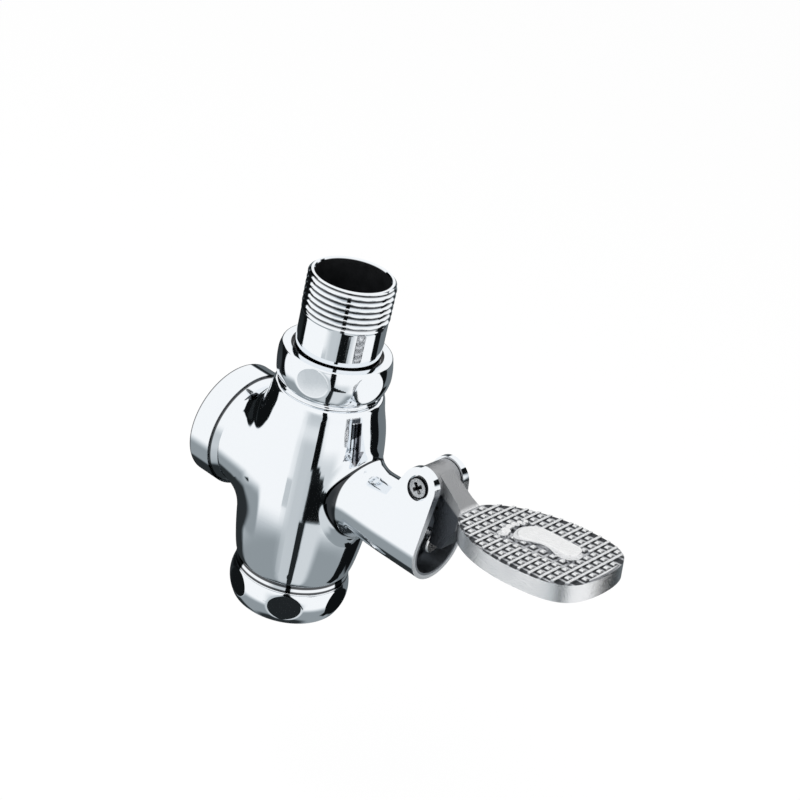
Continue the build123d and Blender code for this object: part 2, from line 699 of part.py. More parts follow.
with BuildPart() as plunger_seal:
    with BuildSketch(Plane.YZ.offset(GLAND_END)):
        with Locations((0, NECK_Z)):
            Circle(PLUNGER_R + ORING - RUNNING)
            Circle(PLUNGER_R + RUNNING, mode=Mode.SUBTRACT)
    extrude(amount=ORING)
save(plunger_seal, "plunger_seal")

with BuildPart() as gland_washer:
    with BuildSketch(Plane.YZ.offset(GLAND_END)):
        with Locations((0, NECK_Z)):
            Circle(GLAND_R)
            Circle(PLUNGER_R + PLUNGER_ROOM, mode=Mode.SUBTRACT)
    extrude(amount=-GLAND_WASHER)
save(gland_washer, "gland_washer")

# Plunger with its collar, and the adjusting screw in its outer end
TIP_X = RELIEF_STEM_R + TOUCH
COLLAR_FACE = PLUNGER_FACE - ADJUSTER_HEAD
SHANK_END = COLLAR_FACE - ADJUSTER_SHANK - THREAD_END
plunger = turned(
    [
        (TIP_X, NECK_Z),
        (TIP_X, NECK_Z + PLUNGER_R - PLUNGER_TIP),
        (TIP_X + PLUNGER_TIP, NECK_Z + PLUNGER_R),
        (COLLAR_FACE - PLUNGER_COLLAR, NECK_Z + PLUNGER_R),
        (COLLAR_FACE - PLUNGER_COLLAR, NECK_Z + PLUNGER_COLLAR_R),
        (COLLAR_FACE, NECK_Z + PLUNGER_COLLAR_R),
        (COLLAR_FACE, NECK_Z + ADJUSTER_SHANK_R + RUNNING),
        (SHANK_END, NECK_Z + ADJUSTER_SHANK_R + RUNNING),
        (SHANK_END, NECK_Z),
    ],
    NECK_AXIS,
)
save(plunger, "plunger")


def cross_recess(plane):
    """The cross in a screw's head, cut down from its face."""
    with BuildSketch(plane) as cross:
        Rectangle(CROSS_LENGTH, CROSS_WIDTH)
        Rectangle(CROSS_WIDTH, CROSS_LENGTH)
    extrude(cross.sketch, amount=-CROSS_DEPTH, mode=Mode.SUBTRACT)


with BuildPart() as adjusting_screw:
    with BuildSketch(Plane.YZ.offset(COLLAR_FACE)):
        with Locations((0, NECK_Z)):
            Circle(ADJUSTER_HEAD_R)
    extrude(amount=ADJUSTER_HEAD)
    fillet(adjusting_screw.edges().filter_by(GeomType.CIRCLE).sort_by(Axis.X)[-1], HEAD_ROUND)
    with BuildSketch(Plane.YZ.offset(COLLAR_FACE)):
        with Locations((0, NECK_Z)):
            Circle(ADJUSTER_SHANK_R)
    extrude(amount=-ADJUSTER_SHANK)
    cross_recess(Plane((PLUNGER_FACE, 0, NECK_Z), x_dir=(0, 1, 1), z_dir=(1, 0, 0)))
save(adjusting_screw, "adjusting_screw")

with BuildPart() as plunger_spring:
    with BuildSketch(Plane.YZ.offset(GLAND_FACE - GLAND_SPRING_DEPTH)):
        with Locations((0, NECK_Z)):
            Circle(PLUNGER_R + RUNNING + TOUCH + SPRING_WIRE)
            Circle(PLUNGER_R + RUNNING + TOUCH, mode=Mode.SUBTRACT)
    extrude(amount=COLLAR_FACE - PLUNGER_COLLAR - GLAND_FACE + GLAND_SPRING_DEPTH)
save(plunger_spring, "plunger_spring")

# Pivot screw through both ears
with BuildPart() as pivot_screw:
    with BuildSketch(Plane.XZ.offset(-EAR_HALF)):
        with Locations((PIVOT_X, PIVOT_Z)):
            Circle(PIVOT_R)
    extrude(amount=EAR_HALF + PIVOT_SEAT)
    with BuildSketch(Plane.XZ.offset(PIVOT_SEAT)):
        with Locations((PIVOT_X, PIVOT_Z)):
            Circle(PIVOT_HEAD_R)
    extrude(amount=PIVOT_HEAD)
    fillet(pivot_screw.edges().filter_by(GeomType.CIRCLE).sort_by(Axis.Y)[0], HEAD_ROUND)
    head_face = (PIVOT_X, -PIVOT_SEAT - PIVOT_HEAD, PIVOT_Z)
    cross_recess(Plane(head_face, x_dir=(1, 0, 0.6), z_dir=(0, -1, 0)))
save(pivot_screw, "pivot_screw")


def plate_outline(inset=0.0):
    """The pedal plate's edge, or a line inside it, in the sketch that calls it."""
    points = list(PLATE_SIDE) + [(place, -across) for place, across in reversed(PLATE_SIDE[:-1])]
    with BuildLine() as edge:
        if inset:
            outer = Spline(*points, mode=Mode.PRIVATE)
            steps = [step / OUTLINE_STEPS for step in range(OUTLINE_STEPS + 1)]
            inner = [outer @ step + (outer % step).rotate(Axis.Z, -90) * inset for step in steps]
            points = [(point.X, point.Y) for point in inner if point.X > inset]
        Spline(*points)
        Line(points[0], points[-1])
    make_face(edge.edges())


TILT = radians(PLATE_TILT)
PLATE_TOP = Plane(
    (PLATE_START, 0, PLATE_START_Z),
    x_dir=(cos(TILT), 0, sin(TILT)),
    z_dir=(-sin(TILT), 0, cos(TILT)),
)
PLATE_BASE = PLATE_TOP.offset(-TREAD)

# The arm's top face runs from the plate's border to a tangent on the hub
reach = hypot(PLATE_START - PIVOT_X, PLATE_START_Z - PIVOT_Z)
ARM_LENGTH = sqrt(reach**2 - HUB_R**2)
ARM_SLOPE = asin(HUB_R / reach) + asin((PIVOT_Z - PLATE_START_Z) / reach)
ARM_TOP = Plane(
    (PLATE_START, 0, PLATE_START_Z),
    x_dir=(-cos(ARM_SLOPE), 0, sin(ARM_SLOPE)),
    z_dir=(sin(ARM_SLOPE), 0, cos(ARM_SLOPE)),
)

with BuildPart() as pedal:
    # plate with its rim, hollow underneath
    with BuildSketch(PLATE_BASE):
        plate_outline()
    extrude(amount=TREAD - PLATE_RIM)
    with BuildSketch(PLATE_BASE.offset(-PLATE_THICKNESS)):
        plate_outline(RIM_WALL)
    extrude(amount=-PLATE_RIM, mode=Mode.SUBTRACT)
    # stiffening ribs in the hollow
    with BuildSketch(PLATE_BASE.offset(-PLATE_THICKNESS)):
        plate_outline(RIM_WALL / 2)
        with BuildSketch(mode=Mode.INTERSECT):
            Rectangle(2 * PLATE_SIDE[-1][0], RIB_WIDTH)
            with Locations(*((place, 0) for place in RIB_PLACES)):
                Rectangle(RIB_WIDTH, 3 * PLATE_SIDE[-1][0])
    extrude(amount=PLATE_THICKNESS + TREAD + RIB_RECESS - PLATE_RIM)
    # tread: straight bars across the plate, and a bare sole with five toes
    with BuildSketch(PLATE_BASE):
        plate_outline(PLATE_EDGE)
        with Locations((TREAD_START + (TREAD_COUNT - 1) * TREAD_PITCH / 2, 0)):
            with GridLocations(TREAD_PITCH, 1, TREAD_COUNT + 1, 1):
                Rectangle(TREAD_PITCH - TREAD_WIDTH, 3 * PLATE_SIDE[-1][0], mode=Mode.SUBTRACT)
        with Locations((SOLE_ROOM[0], SOLE_ROOM[1])):
            Rectangle(SOLE_ROOM[2], SOLE_ROOM[3], mode=Mode.SUBTRACT)
    extrude(amount=TREAD)
    with BuildSketch(PLATE_BASE):
        with BuildLine():
            Spline(*SOLE, periodic=True)
        make_face()
        for place, across, radius in TOES:
            with Locations((place, across)):
                Circle(radius)
    extrude(amount=SOLE_HEIGHT)
    # arm, web with its leg, and hub
    with BuildSketch(ARM_TOP):
        with BuildLine():
            Polyline(
                (-1, ARM_HALF),
                (ARM_FLARE, ARM_HALF - EDGE),
                (ARM_LENGTH, ARM_ROOT_HALF),
                (ARM_LENGTH, -ARM_ROOT_HALF),
                (ARM_FLARE, EDGE - ARM_HALF),
                (-1, -ARM_HALF),
                close=True,
            )
        make_face()
    extrude(amount=-ARM_THICKNESS)
    with BuildSketch(Plane.XZ):
        with BuildLine():
            Polyline(
                (LEG_BACK, PIVOT_Z),
                (LEG_BACK, LEG_BOTTOM),
                (LEG_FRONT, LEG_BOTTOM),
                (WEB_FRONT, WEB_FRONT_Z),
                (WEB_FRONT + 1, PLATE_START_Z - TREAD - 1),
                (PIVOT_X + 3, PIVOT_Z + 4),
                close=True,
            )
        make_face()
    extrude(amount=LEG_HALF, both=True)
    with BuildSketch(Plane.XZ):
        with Locations((PIVOT_X, PIVOT_Z)):
            Circle(HUB_R)
    extrude(amount=HUB_HALF, both=True)
    with BuildSketch(Plane.XZ):
        with Locations((PIVOT_X, PIVOT_Z)):
            Circle(PIVOT_R + RUNNING)
    extrude(amount=HUB_HALF, both=True, mode=Mode.SUBTRACT)
save(pedal, "pedal")
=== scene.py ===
# %% [markdown]
# # A foot pedal flush valve
# A plumber screws this valve to the end of a supply pipe, mouth up, with the pedal near the floor.
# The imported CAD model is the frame: it says where every piece is, and the pieces made here are its
# looks. All places are in metres, the origin is the middle of the inlet's mouth, +Z is up and +X
# points at the pedal.

import json
import math

import bpy
from mathutils import Matrix, Vector
from mathutils.bvhtree import BVHTree


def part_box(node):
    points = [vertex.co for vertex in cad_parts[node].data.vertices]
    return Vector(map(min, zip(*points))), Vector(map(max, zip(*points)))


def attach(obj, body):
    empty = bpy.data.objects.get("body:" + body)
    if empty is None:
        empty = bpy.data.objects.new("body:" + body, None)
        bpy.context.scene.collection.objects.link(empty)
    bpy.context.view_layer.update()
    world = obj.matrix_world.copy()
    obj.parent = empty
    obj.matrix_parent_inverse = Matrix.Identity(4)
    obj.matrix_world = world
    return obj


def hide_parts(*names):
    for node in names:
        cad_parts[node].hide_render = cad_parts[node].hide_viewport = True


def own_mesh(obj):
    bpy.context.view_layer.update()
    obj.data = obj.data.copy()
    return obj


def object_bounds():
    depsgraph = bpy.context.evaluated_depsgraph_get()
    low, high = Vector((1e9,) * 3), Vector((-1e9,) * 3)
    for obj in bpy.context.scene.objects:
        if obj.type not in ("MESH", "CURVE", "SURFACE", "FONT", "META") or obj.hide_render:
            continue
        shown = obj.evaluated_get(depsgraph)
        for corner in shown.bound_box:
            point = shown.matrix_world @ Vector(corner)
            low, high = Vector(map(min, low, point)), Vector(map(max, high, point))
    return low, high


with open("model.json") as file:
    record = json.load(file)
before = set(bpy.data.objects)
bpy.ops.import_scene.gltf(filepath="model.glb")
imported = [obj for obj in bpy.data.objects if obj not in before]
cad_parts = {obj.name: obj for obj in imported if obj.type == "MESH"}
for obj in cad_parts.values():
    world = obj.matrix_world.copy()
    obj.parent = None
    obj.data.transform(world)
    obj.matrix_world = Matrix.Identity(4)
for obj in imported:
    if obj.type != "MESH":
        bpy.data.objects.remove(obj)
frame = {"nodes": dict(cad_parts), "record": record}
cad_low, cad_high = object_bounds()
MM = 0.001
scene = bpy.context.scene
scene.view_settings.view_transform = "Standard"


def add_object(name, data):
    made = bpy.data.objects.new(name, data)
    scene.collection.objects.link(made)
    return made


# %% [markdown]
# ## Camera
# The view was found by fitting a pinhole camera to the object's outlines, so it is given as angles
# round the object, a distance and a roll. A long lens from 0.7 m keeps the flat look of a product
# shot. Blender wants a matrix, and its columns are the camera's right, up and back.

# %% Camera
CAMERA_AZIMUTH = math.radians(35.2)
CAMERA_ELEVATION = math.radians(27.55)
CAMERA_ROLL = math.radians(13.2)
CAMERA_DISTANCE = 0.7
AIM_ACROSS = 26.65 * MM
AIM_HEIGHT = -45.45 * MM
FOCAL_PIXELS = 1879
PICTURE_PIXELS = 800
SENSOR = 36

across = Vector((math.cos(CAMERA_AZIMUTH), math.sin(CAMERA_AZIMUTH), 0))
toward = Vector((math.sin(CAMERA_AZIMUTH), -math.cos(CAMERA_AZIMUTH), 0))
back = toward * math.cos(CAMERA_ELEVATION) + Vector((0, 0, math.sin(CAMERA_ELEVATION)))
upright = back.cross(across)
right = across * math.cos(CAMERA_ROLL) + upright * math.sin(CAMERA_ROLL)
up = upright * math.cos(CAMERA_ROLL) - across * math.sin(CAMERA_ROLL)
place = across * AIM_ACROSS + Vector((0, 0, AIM_HEIGHT)) + back * CAMERA_DISTANCE


def placed(origin, *axes):
    """The matrix whose columns are three axes and an origin."""
    return Matrix.Translation(origin) @ Matrix(axes).transposed().to_4x4()


camera = add_object("camera", bpy.data.cameras.new("camera"))
camera.data.sensor_width = SENSOR
camera.data.lens = FOCAL_PIXELS * SENSOR / PICTURE_PIXELS
camera.matrix_world = placed(place, right, up, back)
scene.camera = camera
print("camera at", [round(value, 4) for value in place], "lens", round(camera.data.lens, 1))

# %% [markdown]
# ## Shader maths as Python
# Node trees are hard to read when every sum is three lines of node calls. `Value` wraps one socket
# and overloads the operators, so `1 - mask * 0.5` adds the Math nodes by itself. `Shader.node`
# adds any other node: its settings come first, because some of them change which sockets it has.


# %% Values and shaders
class Value:
    """A number in a node tree, with Python's operators for its maths."""

    def __init__(self, shader, socket):
        self.shader = shader
        self.socket = socket

    def __add__(self, other):
        return self.shader.math("ADD", self, other)

    def __sub__(self, other):
        return self.shader.math("SUBTRACT", self, other)

    def __rsub__(self, other):
        return self.shader.math("SUBTRACT", other, self)

    def __mul__(self, other):
        return self.shader.math("MULTIPLY", self, other)

    def __truediv__(self, other):
        return self.shader.math("DIVIDE", self, other)

    __radd__ = __add__
    __rmul__ = __mul__


class Shader:
    """Builds one node tree."""

    def __init__(self, tree):
        self.tree = tree
        tree.nodes.clear()

    def node(self, kind, settings=(), inputs=()):
        made = self.tree.nodes.new(kind)
        for name, value in dict(settings).items():
            setattr(made, name, value)
        for name, value in dict(inputs).items():
            self.feed(made.inputs[name], value)
        return made

    def feed(self, socket, value):
        source = value.socket if isinstance(value, Value) else value
        if isinstance(source, bpy.types.NodeSocket):
            self.tree.links.new(source, socket)
        else:
            socket.default_value = source

    def value(self, output, *node):
        """One output of a new node, as a Value."""
        return Value(self, self.node(*node).outputs[output])

    def math(self, operation, *values):
        return self.value(0, "ShaderNodeMath", {"operation": operation}, enumerate(values))

    def vector(self, operation, *values):
        made = self.node("ShaderNodeVectorMath", {"operation": operation}, enumerate(values))
        return made.outputs["Vector"]

    def dot(self, first, second):
        settings = {"operation": "DOT_PRODUCT"}
        return self.value("Value", "ShaderNodeVectorMath", settings, {0: first, 1: second})

    def join(self, x, y, z):
        return self.node("ShaderNodeCombineXYZ", (), {"X": x, "Y": y, "Z": z}).outputs[0]

    def far(self, first, second):
        """The distance to an axis, from the offsets along the two others."""
        return self.math("SQRT", first * first + second * second)

    def split(self, vector):
        made = self.node("ShaderNodeSeparateXYZ", (), {"Vector": vector})
        return [Value(self, output) for output in made.outputs]

    def step(self, value, low, high):
        """0 below low, 1 above high and a smooth ramp between them."""
        inputs = {"Value": value, "From Min": low, "From Max": high}
        settings = {"interpolation_type": "SMOOTHSTEP"}
        return self.value("Result", "ShaderNodeMapRange", settings, inputs)

    def below(self, value, low, high):
        """1 below low, 0 above high and a smooth ramp between them."""
        return 1 - self.step(value, low, high)

    def window(self, value, low, high, edge):
        """1 between low and high, with soft edges outside them."""
        return self.step(value, low - edge, low) * self.below(value, high, high + edge)

    def mix(self, factor, first, second):
        """A blend of two numbers."""
        inputs = {"Factor": factor, "A": first, "B": second}
        return self.value("Result", "ShaderNodeMix", {"data_type": "FLOAT"}, inputs)

    def blend(self, kind, slots, values):
        """A blend of two vectors or colours, whose sockets go by number."""
        made = self.node("ShaderNodeMix", {"data_type": kind})
        for slot, value in zip(slots, values):
            self.feed(made.inputs[slot], value)
        return made

    def tint(self, factor, first, second):
        """A blend of two colours."""
        return self.blend("RGBA", (0, 6, 7), (factor, first, second)).outputs[2]

    def turn(self, factor, first, second):
        """A blend of two directions."""
        return self.blend("VECTOR", (0, 4, 5), (factor, first, second)).outputs[1]

    def noise(self, place, scale, detail, roughness=0.5):
        inputs = {"Vector": place, "Scale": scale, "Detail": detail, "Roughness": roughness}
        return self.value("Fac", "ShaderNodeTexNoise", (), inputs)


print("shader helpers ready")

# %% [markdown]
# ## Surroundings
# Chrome has no colour of its own: it shows the room. This valve was shot in a white tent with
# black cards hung beside the camera, and those cards make the hard black lines down the barrel.
# The world below gives mirror rays that tent, as an azimuth and an elevation round the camera's
# side, and gives every other ray one even light, so the rubber and the floor stay plain. A ray
# from the camera itself sees white.

# %% World
TENT_WHITE = 1.02
EVEN_LIGHT = 0.62
WHITE = (1, 1, 1, 1)
COOL = (0.78, 0.92, 1.0, 1)  # the dark parts of the tent reflect a little blue
DEGREE = 180 / math.pi
# middle and half width in azimuth, low and high in elevation, softness, all in degrees, then shade
CARDS = (
    (0, 181, -91, -43, 15, 0.34),       # the table under the valve
    (0, 181, -91, -74, 9, 0.03),
    (-9, 7, -60, -10, 22, 0.62),        # the camera's own side
    (22, 10, -60, -22, 16, 0.72),
    (6.0, 4.4, -31, 40, 1.2, 0.004),    # the strip beside the camera
    (5, 5.5, -75, -31, 2.5, 0.02),
    (-31, 5, -27.4, -26.4, 0.8, 0.6),   # what the nut's left flat shows
    (155, 29, -46, 13, 3, 0.2),         # the room behind, on both sides
    (-165, 26, -30, 13, 3, 0.16),
    (-162, 24, -26.4, -19, 0.8, 0.01),
    (115, 11, -52, 30, 2, 0.006),       # the two cards that close the tent
    (125, 21, -40, -30, 2, 0.006),
    (-124, 20, -36, 30, 2, 0.006),
    (-150, 24, -80, -30, 12, 0.03),
    (180, 70, 6, 11, 3, 0.02),
    (1, 4, -30, -22.5, 1.5, 0.6),       # the stand beside the camera, wider towards its foot
    (9, 4.5, -24, -20.5, 1.6, 0.01),
    (11.5, 6.5, -26, -22.5, 1.6, 0.01),
    (14.5, 9.5, -28, -24.5, 1.6, 0.01),
    (17.5, 12.5, -29.5, -26.5, 1.6, 0.006),
    (20, 15, -30, -28.2, 1.6, 0.006),
)


def build_world():
    world = bpy.data.worlds.new("tent")
    world.use_nodes = True
    scene.world = world
    shader = Shader(world.node_tree)
    direction = shader.node("ShaderNodeTexCoord").outputs["Generated"]
    sides = [shader.dot(direction, axis) for axis in (across, toward)]
    azimuth = shader.math("ARCTAN2", *sides) * DEGREE
    elevation = shader.math("ARCSINE", shader.split(direction)[2]) * DEGREE
    shade = 1.0
    for middle, half, low, high, soft, tone in CARDS:
        turned_off = shader.math("ABSOLUTE", shader.math("WRAP", azimuth - middle, -180, 180))
        inside = shader.below(turned_off, half, half + soft)
        shade = shader.mix(inside * shader.window(elevation, low, high, soft), shade, tone)
    rays = shader.node("ShaderNodeLightPath")
    mirror = Value(shader, rays.outputs["Is Glossy Ray"])
    direct = [rays.outputs[name] for name in ("Is Camera Ray", "Is Transmission Ray")]
    seen = shader.math("MAXIMUM", *direct)
    strength = shader.mix(mirror, EVEN_LIGHT, shade * TENT_WHITE)
    strength = shader.mix(seen, strength, 1.0)
    color = shader.tint(mirror, WHITE, shader.tint(shade, COOL, WHITE))
    inputs = {"Color": color, "Strength": strength}
    background = shader.node("ShaderNodeBackground", (), inputs)
    shader.node("ShaderNodeOutputWorld", (), {"Surface": background.outputs[0]})
    print("world:", len(CARDS), "cards,", len(shader.tree.nodes), "nodes")


build_world()

# %% [markdown]
# ## Floor and key light
# The valve hangs from its pipe, so the floor lies a little below the cap and its shadow is soft.
# The floor is see-through to mirror rays, which lets the chrome show the tent below as well.

# %% Floor and light
FLOOR_HEIGHT = cad_low[2] - 120 * MM
FLOOR_HALF = 4.0
KEY_SIZE = 0.9
KEY_DISTANCE = 1.1
KEY_POWER = 9.0
KEY_PLACE = toward * 0.45 - across * 0.35 + Vector((0, 0, 1))
FLOOR_PAINT = (0.92, 0.92, 0.92, 1)
FLOOR_GLOW = 1.025
GLOW_SHARE = 0.9  # the rest is lit paint, which shows the shadow


def build_floor():
    mesh = bpy.data.meshes.new("floor")
    signs = ((-1, -1), (1, -1), (1, 1), (-1, 1))
    corners = [(x * FLOOR_HALF, y * FLOOR_HALF, FLOOR_HEIGHT) for x, y in signs]
    mesh.from_pydata(corners, [], [(0, 1, 2, 3)])
    floor = add_object("floor", mesh)
    material = bpy.data.materials.new("white_floor")
    material.use_nodes = True
    mesh.materials.append(material)
    shader = Shader(material.node_tree)
    rays = shader.node("ShaderNodeLightPath")
    paint = shader.node("ShaderNodeBsdfDiffuse", (), {"Color": FLOOR_PAINT})
    glow = shader.node("ShaderNodeEmission", (), {"Strength": FLOOR_GLOW})
    clear = shader.node("ShaderNodeBsdfTransparent")
    lit = Value(shader, rays.outputs["Is Camera Ray"]) * GLOW_SHARE
    seen = paint
    for factor, other in ((lit, glow), (rays.outputs["Is Glossy Ray"], clear)):
        inputs = {0: factor, 1: seen.outputs[0], 2: other.outputs[0]}
        seen = shader.node("ShaderNodeMixShader", (), inputs)
    shader.node("ShaderNodeOutputMaterial", (), {"Surface": seen.outputs[0]})


def build_key():
    lamp = bpy.data.lights.new("key", "AREA")
    lamp.shape = "DISK"
    lamp.size = KEY_SIZE
    lamp.energy = KEY_POWER
    key = add_object("key", lamp)
    aim = KEY_PLACE.normalized()
    key.location = aim * KEY_DISTANCE
    key.rotation_euler = aim.to_track_quat("Z", "Y").to_euler()
    key.visible_glossy = False


build_floor()
build_key()
print("floor at", round(FLOOR_HEIGHT, 4))

# %% [markdown]
# ## Finishes
# Each finish is one function, because a maker plates, casts or turns pieces in different ways. A
# mirror plate is a metal of very low roughness, and what makes it look real is that it is not
# perfect: a faint unevenness from polishing bends the reflections a little.

# %% A principled material
def principled(name, base, metallic, paint):
    """A material whose sockets that change over the surface are set by `paint`."""
    material = bpy.data.materials.new(name)
    material.use_nodes = True
    shader = Shader(material.node_tree)
    inputs = {"Base Color": base, "Metallic": metallic}
    surface = shader.node("ShaderNodeBsdfPrincipled", (), inputs)
    point = shader.node("ShaderNodeTexCoord").outputs["Object"]
    for socket, value in paint(shader, point).items():
        shader.feed(surface.inputs[socket], value)
    shader.node("ShaderNodeOutputMaterial", (), {"Surface": surface.outputs[0]})
    return material


def bump(shader, height, distance, strength=1.0):
    """A normal for a height, where a height of 1 stands out by the distance."""
    inputs = {"Height": height, "Distance": distance, "Strength": strength}
    return shader.node("ShaderNodeBump", (), inputs).outputs["Normal"]


print("a finish is a paint function given to principled()")

# %% [markdown]
# ### Joints of the casting
# Where the branch and the neck grow out of the barrel, a founder rounds the pattern generously and
# the polisher runs over the joint, so no edge shows. The finish widens the CAD model's small fillet
# to the eye: near both surfaces the normal is a blend of the two forms' own normals, which are
# known from the point's place. Close round the neck a crease of painted shade is added, wider at
# the neck's sides than on its top.

# %% Joints
BARREL_CURVE = (-0.00235829, -0.419269, 7.31567)  # radius from height, in millimetres
BRANCH_HEIGHT = -82.9 * MM
BRANCH_ROOT = 24.6 * MM  # radius at the barrel's axis
BRANCH_RISE = 3.4 / 30.1  # change of radius with x
NECK_HEIGHT = -80.8 * MM
NECK_ROOT = 12.7 * MM
NECK_RISE = 1.3 / 44
BRANCH_BLEND = (13, 3)  # reach over the barrel and over the branch, in millimetres
NECK_BLEND = (6, 6)
BLEND_GAIN = 6.4  # the blend is whole where a joint's share is near a half
CREASE_TOP = 0.6 * MM
CREASE_SIDE = 2.6 * MM


def smooth_joints(shader, point, normal):
    """The normal, bent over the joints of barrel, branch and neck, and the neck's painted shade."""
    x, y, z = shader.split(point)
    square, line, start = BARREL_CURVE
    height = z / MM
    barrel_r = ((height * square + line) * height + start) * MM
    barrel_far = shader.far(x, y)
    slope = (height * (2 * square) + line) * -1
    forms = [(x / barrel_far, y / barrel_far, slope, barrel_far - barrel_r)]
    for axis_height, root, rise in (
        (BRANCH_HEIGHT, BRANCH_ROOT, BRANCH_RISE), (NECK_HEIGHT, NECK_ROOT, NECK_RISE),
    ):
        drop = z - axis_height
        far = shader.math("MAXIMUM", shader.far(y, drop), 0.1 * MM)
        forms.append((-rise, y / far, drop / far, far - root - x * rise))
    barrel, branch, neck = forms
    bent = normal
    for form, (before, after), side in ((branch, BRANCH_BLEND, -1), (neck, NECK_BLEND, 1)):
        share = shader.step(barrel[3] - form[3], -before * MM, after * MM)
        near = shader.window(form[3], -1.5 * MM, before * MM, 0.5 * MM)
        near = near * shader.step(barrel[3], -2 * MM, -1 * MM) * shader.step(x * side, 0, 4 * MM)
        mix = shader.math("MINIMUM", share * (1 - share) * near * BLEND_GAIN, 1)
        joined = shader.join(*(shader.mix(share, barrel[axis], form[axis]) for axis in range(3)))
        bent = shader.turn(mix, bent, shader.vector("NORMALIZE", joined))
    apart = shader.math("ABSOLUTE", barrel[3] - neck[3])
    sideways = neck[1] * neck[1]
    wide = sideways * sideways * (CREASE_SIDE - CREASE_TOP) + CREASE_TOP
    # painted shade close round the neck, wider at its sides than on its top
    crease_shade = shader.below(apart / wide, 0.75, 1.0) * near
    return shader.vector("NORMALIZE", bent), crease_shade


print("joints blended: branch", BRANCH_BLEND, "neck", NECK_BLEND, "mm")

# %% [markdown]
# ### Chrome
# Chrome plate over polished brass. The plating hardly reaches into a cup or a bore, so inside the
# cup and the branch the metal is duller, and its darker colour there is painted shade. Those places
# are found from their distance to the axes that they were drilled along. Thin lines of painted shade
# mark the grooves beside the collar and the double bead above the cap, and the body below its seam
# with the cap is painted dark as shade.

# %% Chrome
PLATE = (0.875, 0.905, 0.935, 1)
# painted shade for the inside of the cup and the branch
SHADED = (0.30, 0.32, 0.345, 1)
# painted shade for the grooves and the seam by the cap
GROOVE_SHADE_COLOR = (0.02, 0.022, 0.026, 1)
# each pair is a ramp: places along an axis or, for a wall and the collar, distances from it
CUP_WALL = (12.2 * MM, 12.6 * MM)
CUP_FLOOR = (50.0 * MM, 50.5 * MM)
CUP_RIM = (63.4 * MM, 63.8 * MM)
BRANCH_WALL = (19.8 * MM, 20.2 * MM)
BRANCH_DEPTH = (20 * MM, 42.6 * MM)
COLLAR_R = (20.4 * MM, 20.8 * MM)
SEAM_LINE = (-125.3 * MM, -125.0 * MM)
BEAD_LINE = (-123.9 * MM, -122.9 * MM)
COLLAR_LINE = (-33.1 * MM, -32.7 * MM)
MOUTH_LINE = (-42.9 * MM, -42.5 * MM)
LINE_EDGE = 0.25 * MM


def chrome_paint(shader, point):
    x, y, z = shader.split(point)
    cup = shader.far(y, z - NECK_HEIGHT)
    branch = shader.far(y, z - BRANCH_HEIGHT)
    # inside the cup and the branch the chrome is rougher, and painted with shade
    in_cup = shader.below(cup, *CUP_WALL) * shader.step(x, *CUP_FLOOR)
    in_branch = shader.below(branch, *BRANCH_WALL) * shader.step(x * -1, *BRANCH_DEPTH)
    inside = shader.math("MAXIMUM", in_cup, in_branch)
    wave = shader.noise(point, 45, 1.0)
    haze = shader.noise(point, 900, 3.0)
    # painted shade: lines in the grooves, and the body below the seam by the cap
    seam_shade = shader.below(z, *SEAM_LINE) + shader.window(z, *BEAD_LINE, LINE_EDGE)
    groove_shade = shader.window(x, *COLLAR_LINE, LINE_EDGE) + shader.below(x, *MOUTH_LINE)
    seam_shade = shader.math("MAXIMUM", seam_shade, groove_shade * shader.step(branch, *COLLAR_R))
    normal, crease_shade = smooth_joints(shader, point, bump(shader, wave + haze * 0.012, 0.12 * MM))
    # painted shade from the grooves, the seam and the neck's crease
    painted_shade = shader.math("MAXIMUM", seam_shade * 0.92, crease_shade * 0.96)
    metal = shader.tint(inside, PLATE, SHADED)
    return {
        "Base Color": shader.tint(painted_shade, metal, GROOVE_SHADE_COLOR),
        "Roughness": 0.035 + haze * 0.03 + inside * 0.3 + shader.step(x, *CUP_RIM) * 0.4,
        "Normal": normal,
    }


def ring_paint(shader, point):
    wave = shader.noise(point, 60, 1.0)
    haze = shader.noise(point, 900, 3.0)
    return {
        "Roughness": 0.04 + haze * 0.03,
        "Normal": bump(shader, wave + haze * 0.012, 0.06 * MM),
    }


chrome = principled("polished_chrome", PLATE, 1.0, chrome_paint)
ring_chrome = principled("ring_chrome", PLATE, 1.0, ring_paint)
print("plated:", chrome.name, len(chrome.node_tree.nodes), "nodes,", ring_chrome.name)

# %% [markdown]
# ### Nut, tail and arrow
# Some places are painted with shade: the recess in the nut round the tail, the roots of the tail's
# thread, and the raised arrow, which is mid grey with black bands of painted shade and has a painted
# highlight on its near edge.

# %% Nut, tail and arrow
RECESS_EDGE = (17.35 * MM, 17.5 * MM)
# near black, the painted shade in the nut's recess
RECESS_SHADE = (0.01, 0.01, 0.012, 1)
ROOT_EDGE = (15.5 * MM, 16.0 * MM)
# painted shade in the roots of the thread
ROOT_SHADE = (0.07, 0.075, 0.08, 1)
ARROW_AZIMUTH = math.radians(-17)
ARROW_RADIUS = 23.0  # the arrow is laid out on a cylinder, in millimetres
# the arrow's top is painted with grey and black shade, and its near edge with a painted highlight
ARROW_SHADE_GREY = (0.30, 0.305, 0.33, 1)
ARROW_SHADE_BLACK = (0.015, 0.016, 0.02, 1)


def marked_ring(shader, point, mask, plain, marked):
    """The rings' chrome, in the colour plain where mask is 0 and marked where it is 1."""
    return ring_paint(shader, point) | {"Base Color": shader.tint(mask, plain, marked)}


def nut_paint(shader, point):
    x, y, _ = shader.split(point)
    # painted shade in the recess round the tail
    inside = shader.below(shader.far(x, y), *RECESS_EDGE)
    return marked_ring(shader, point, inside, PLATE, RECESS_SHADE)


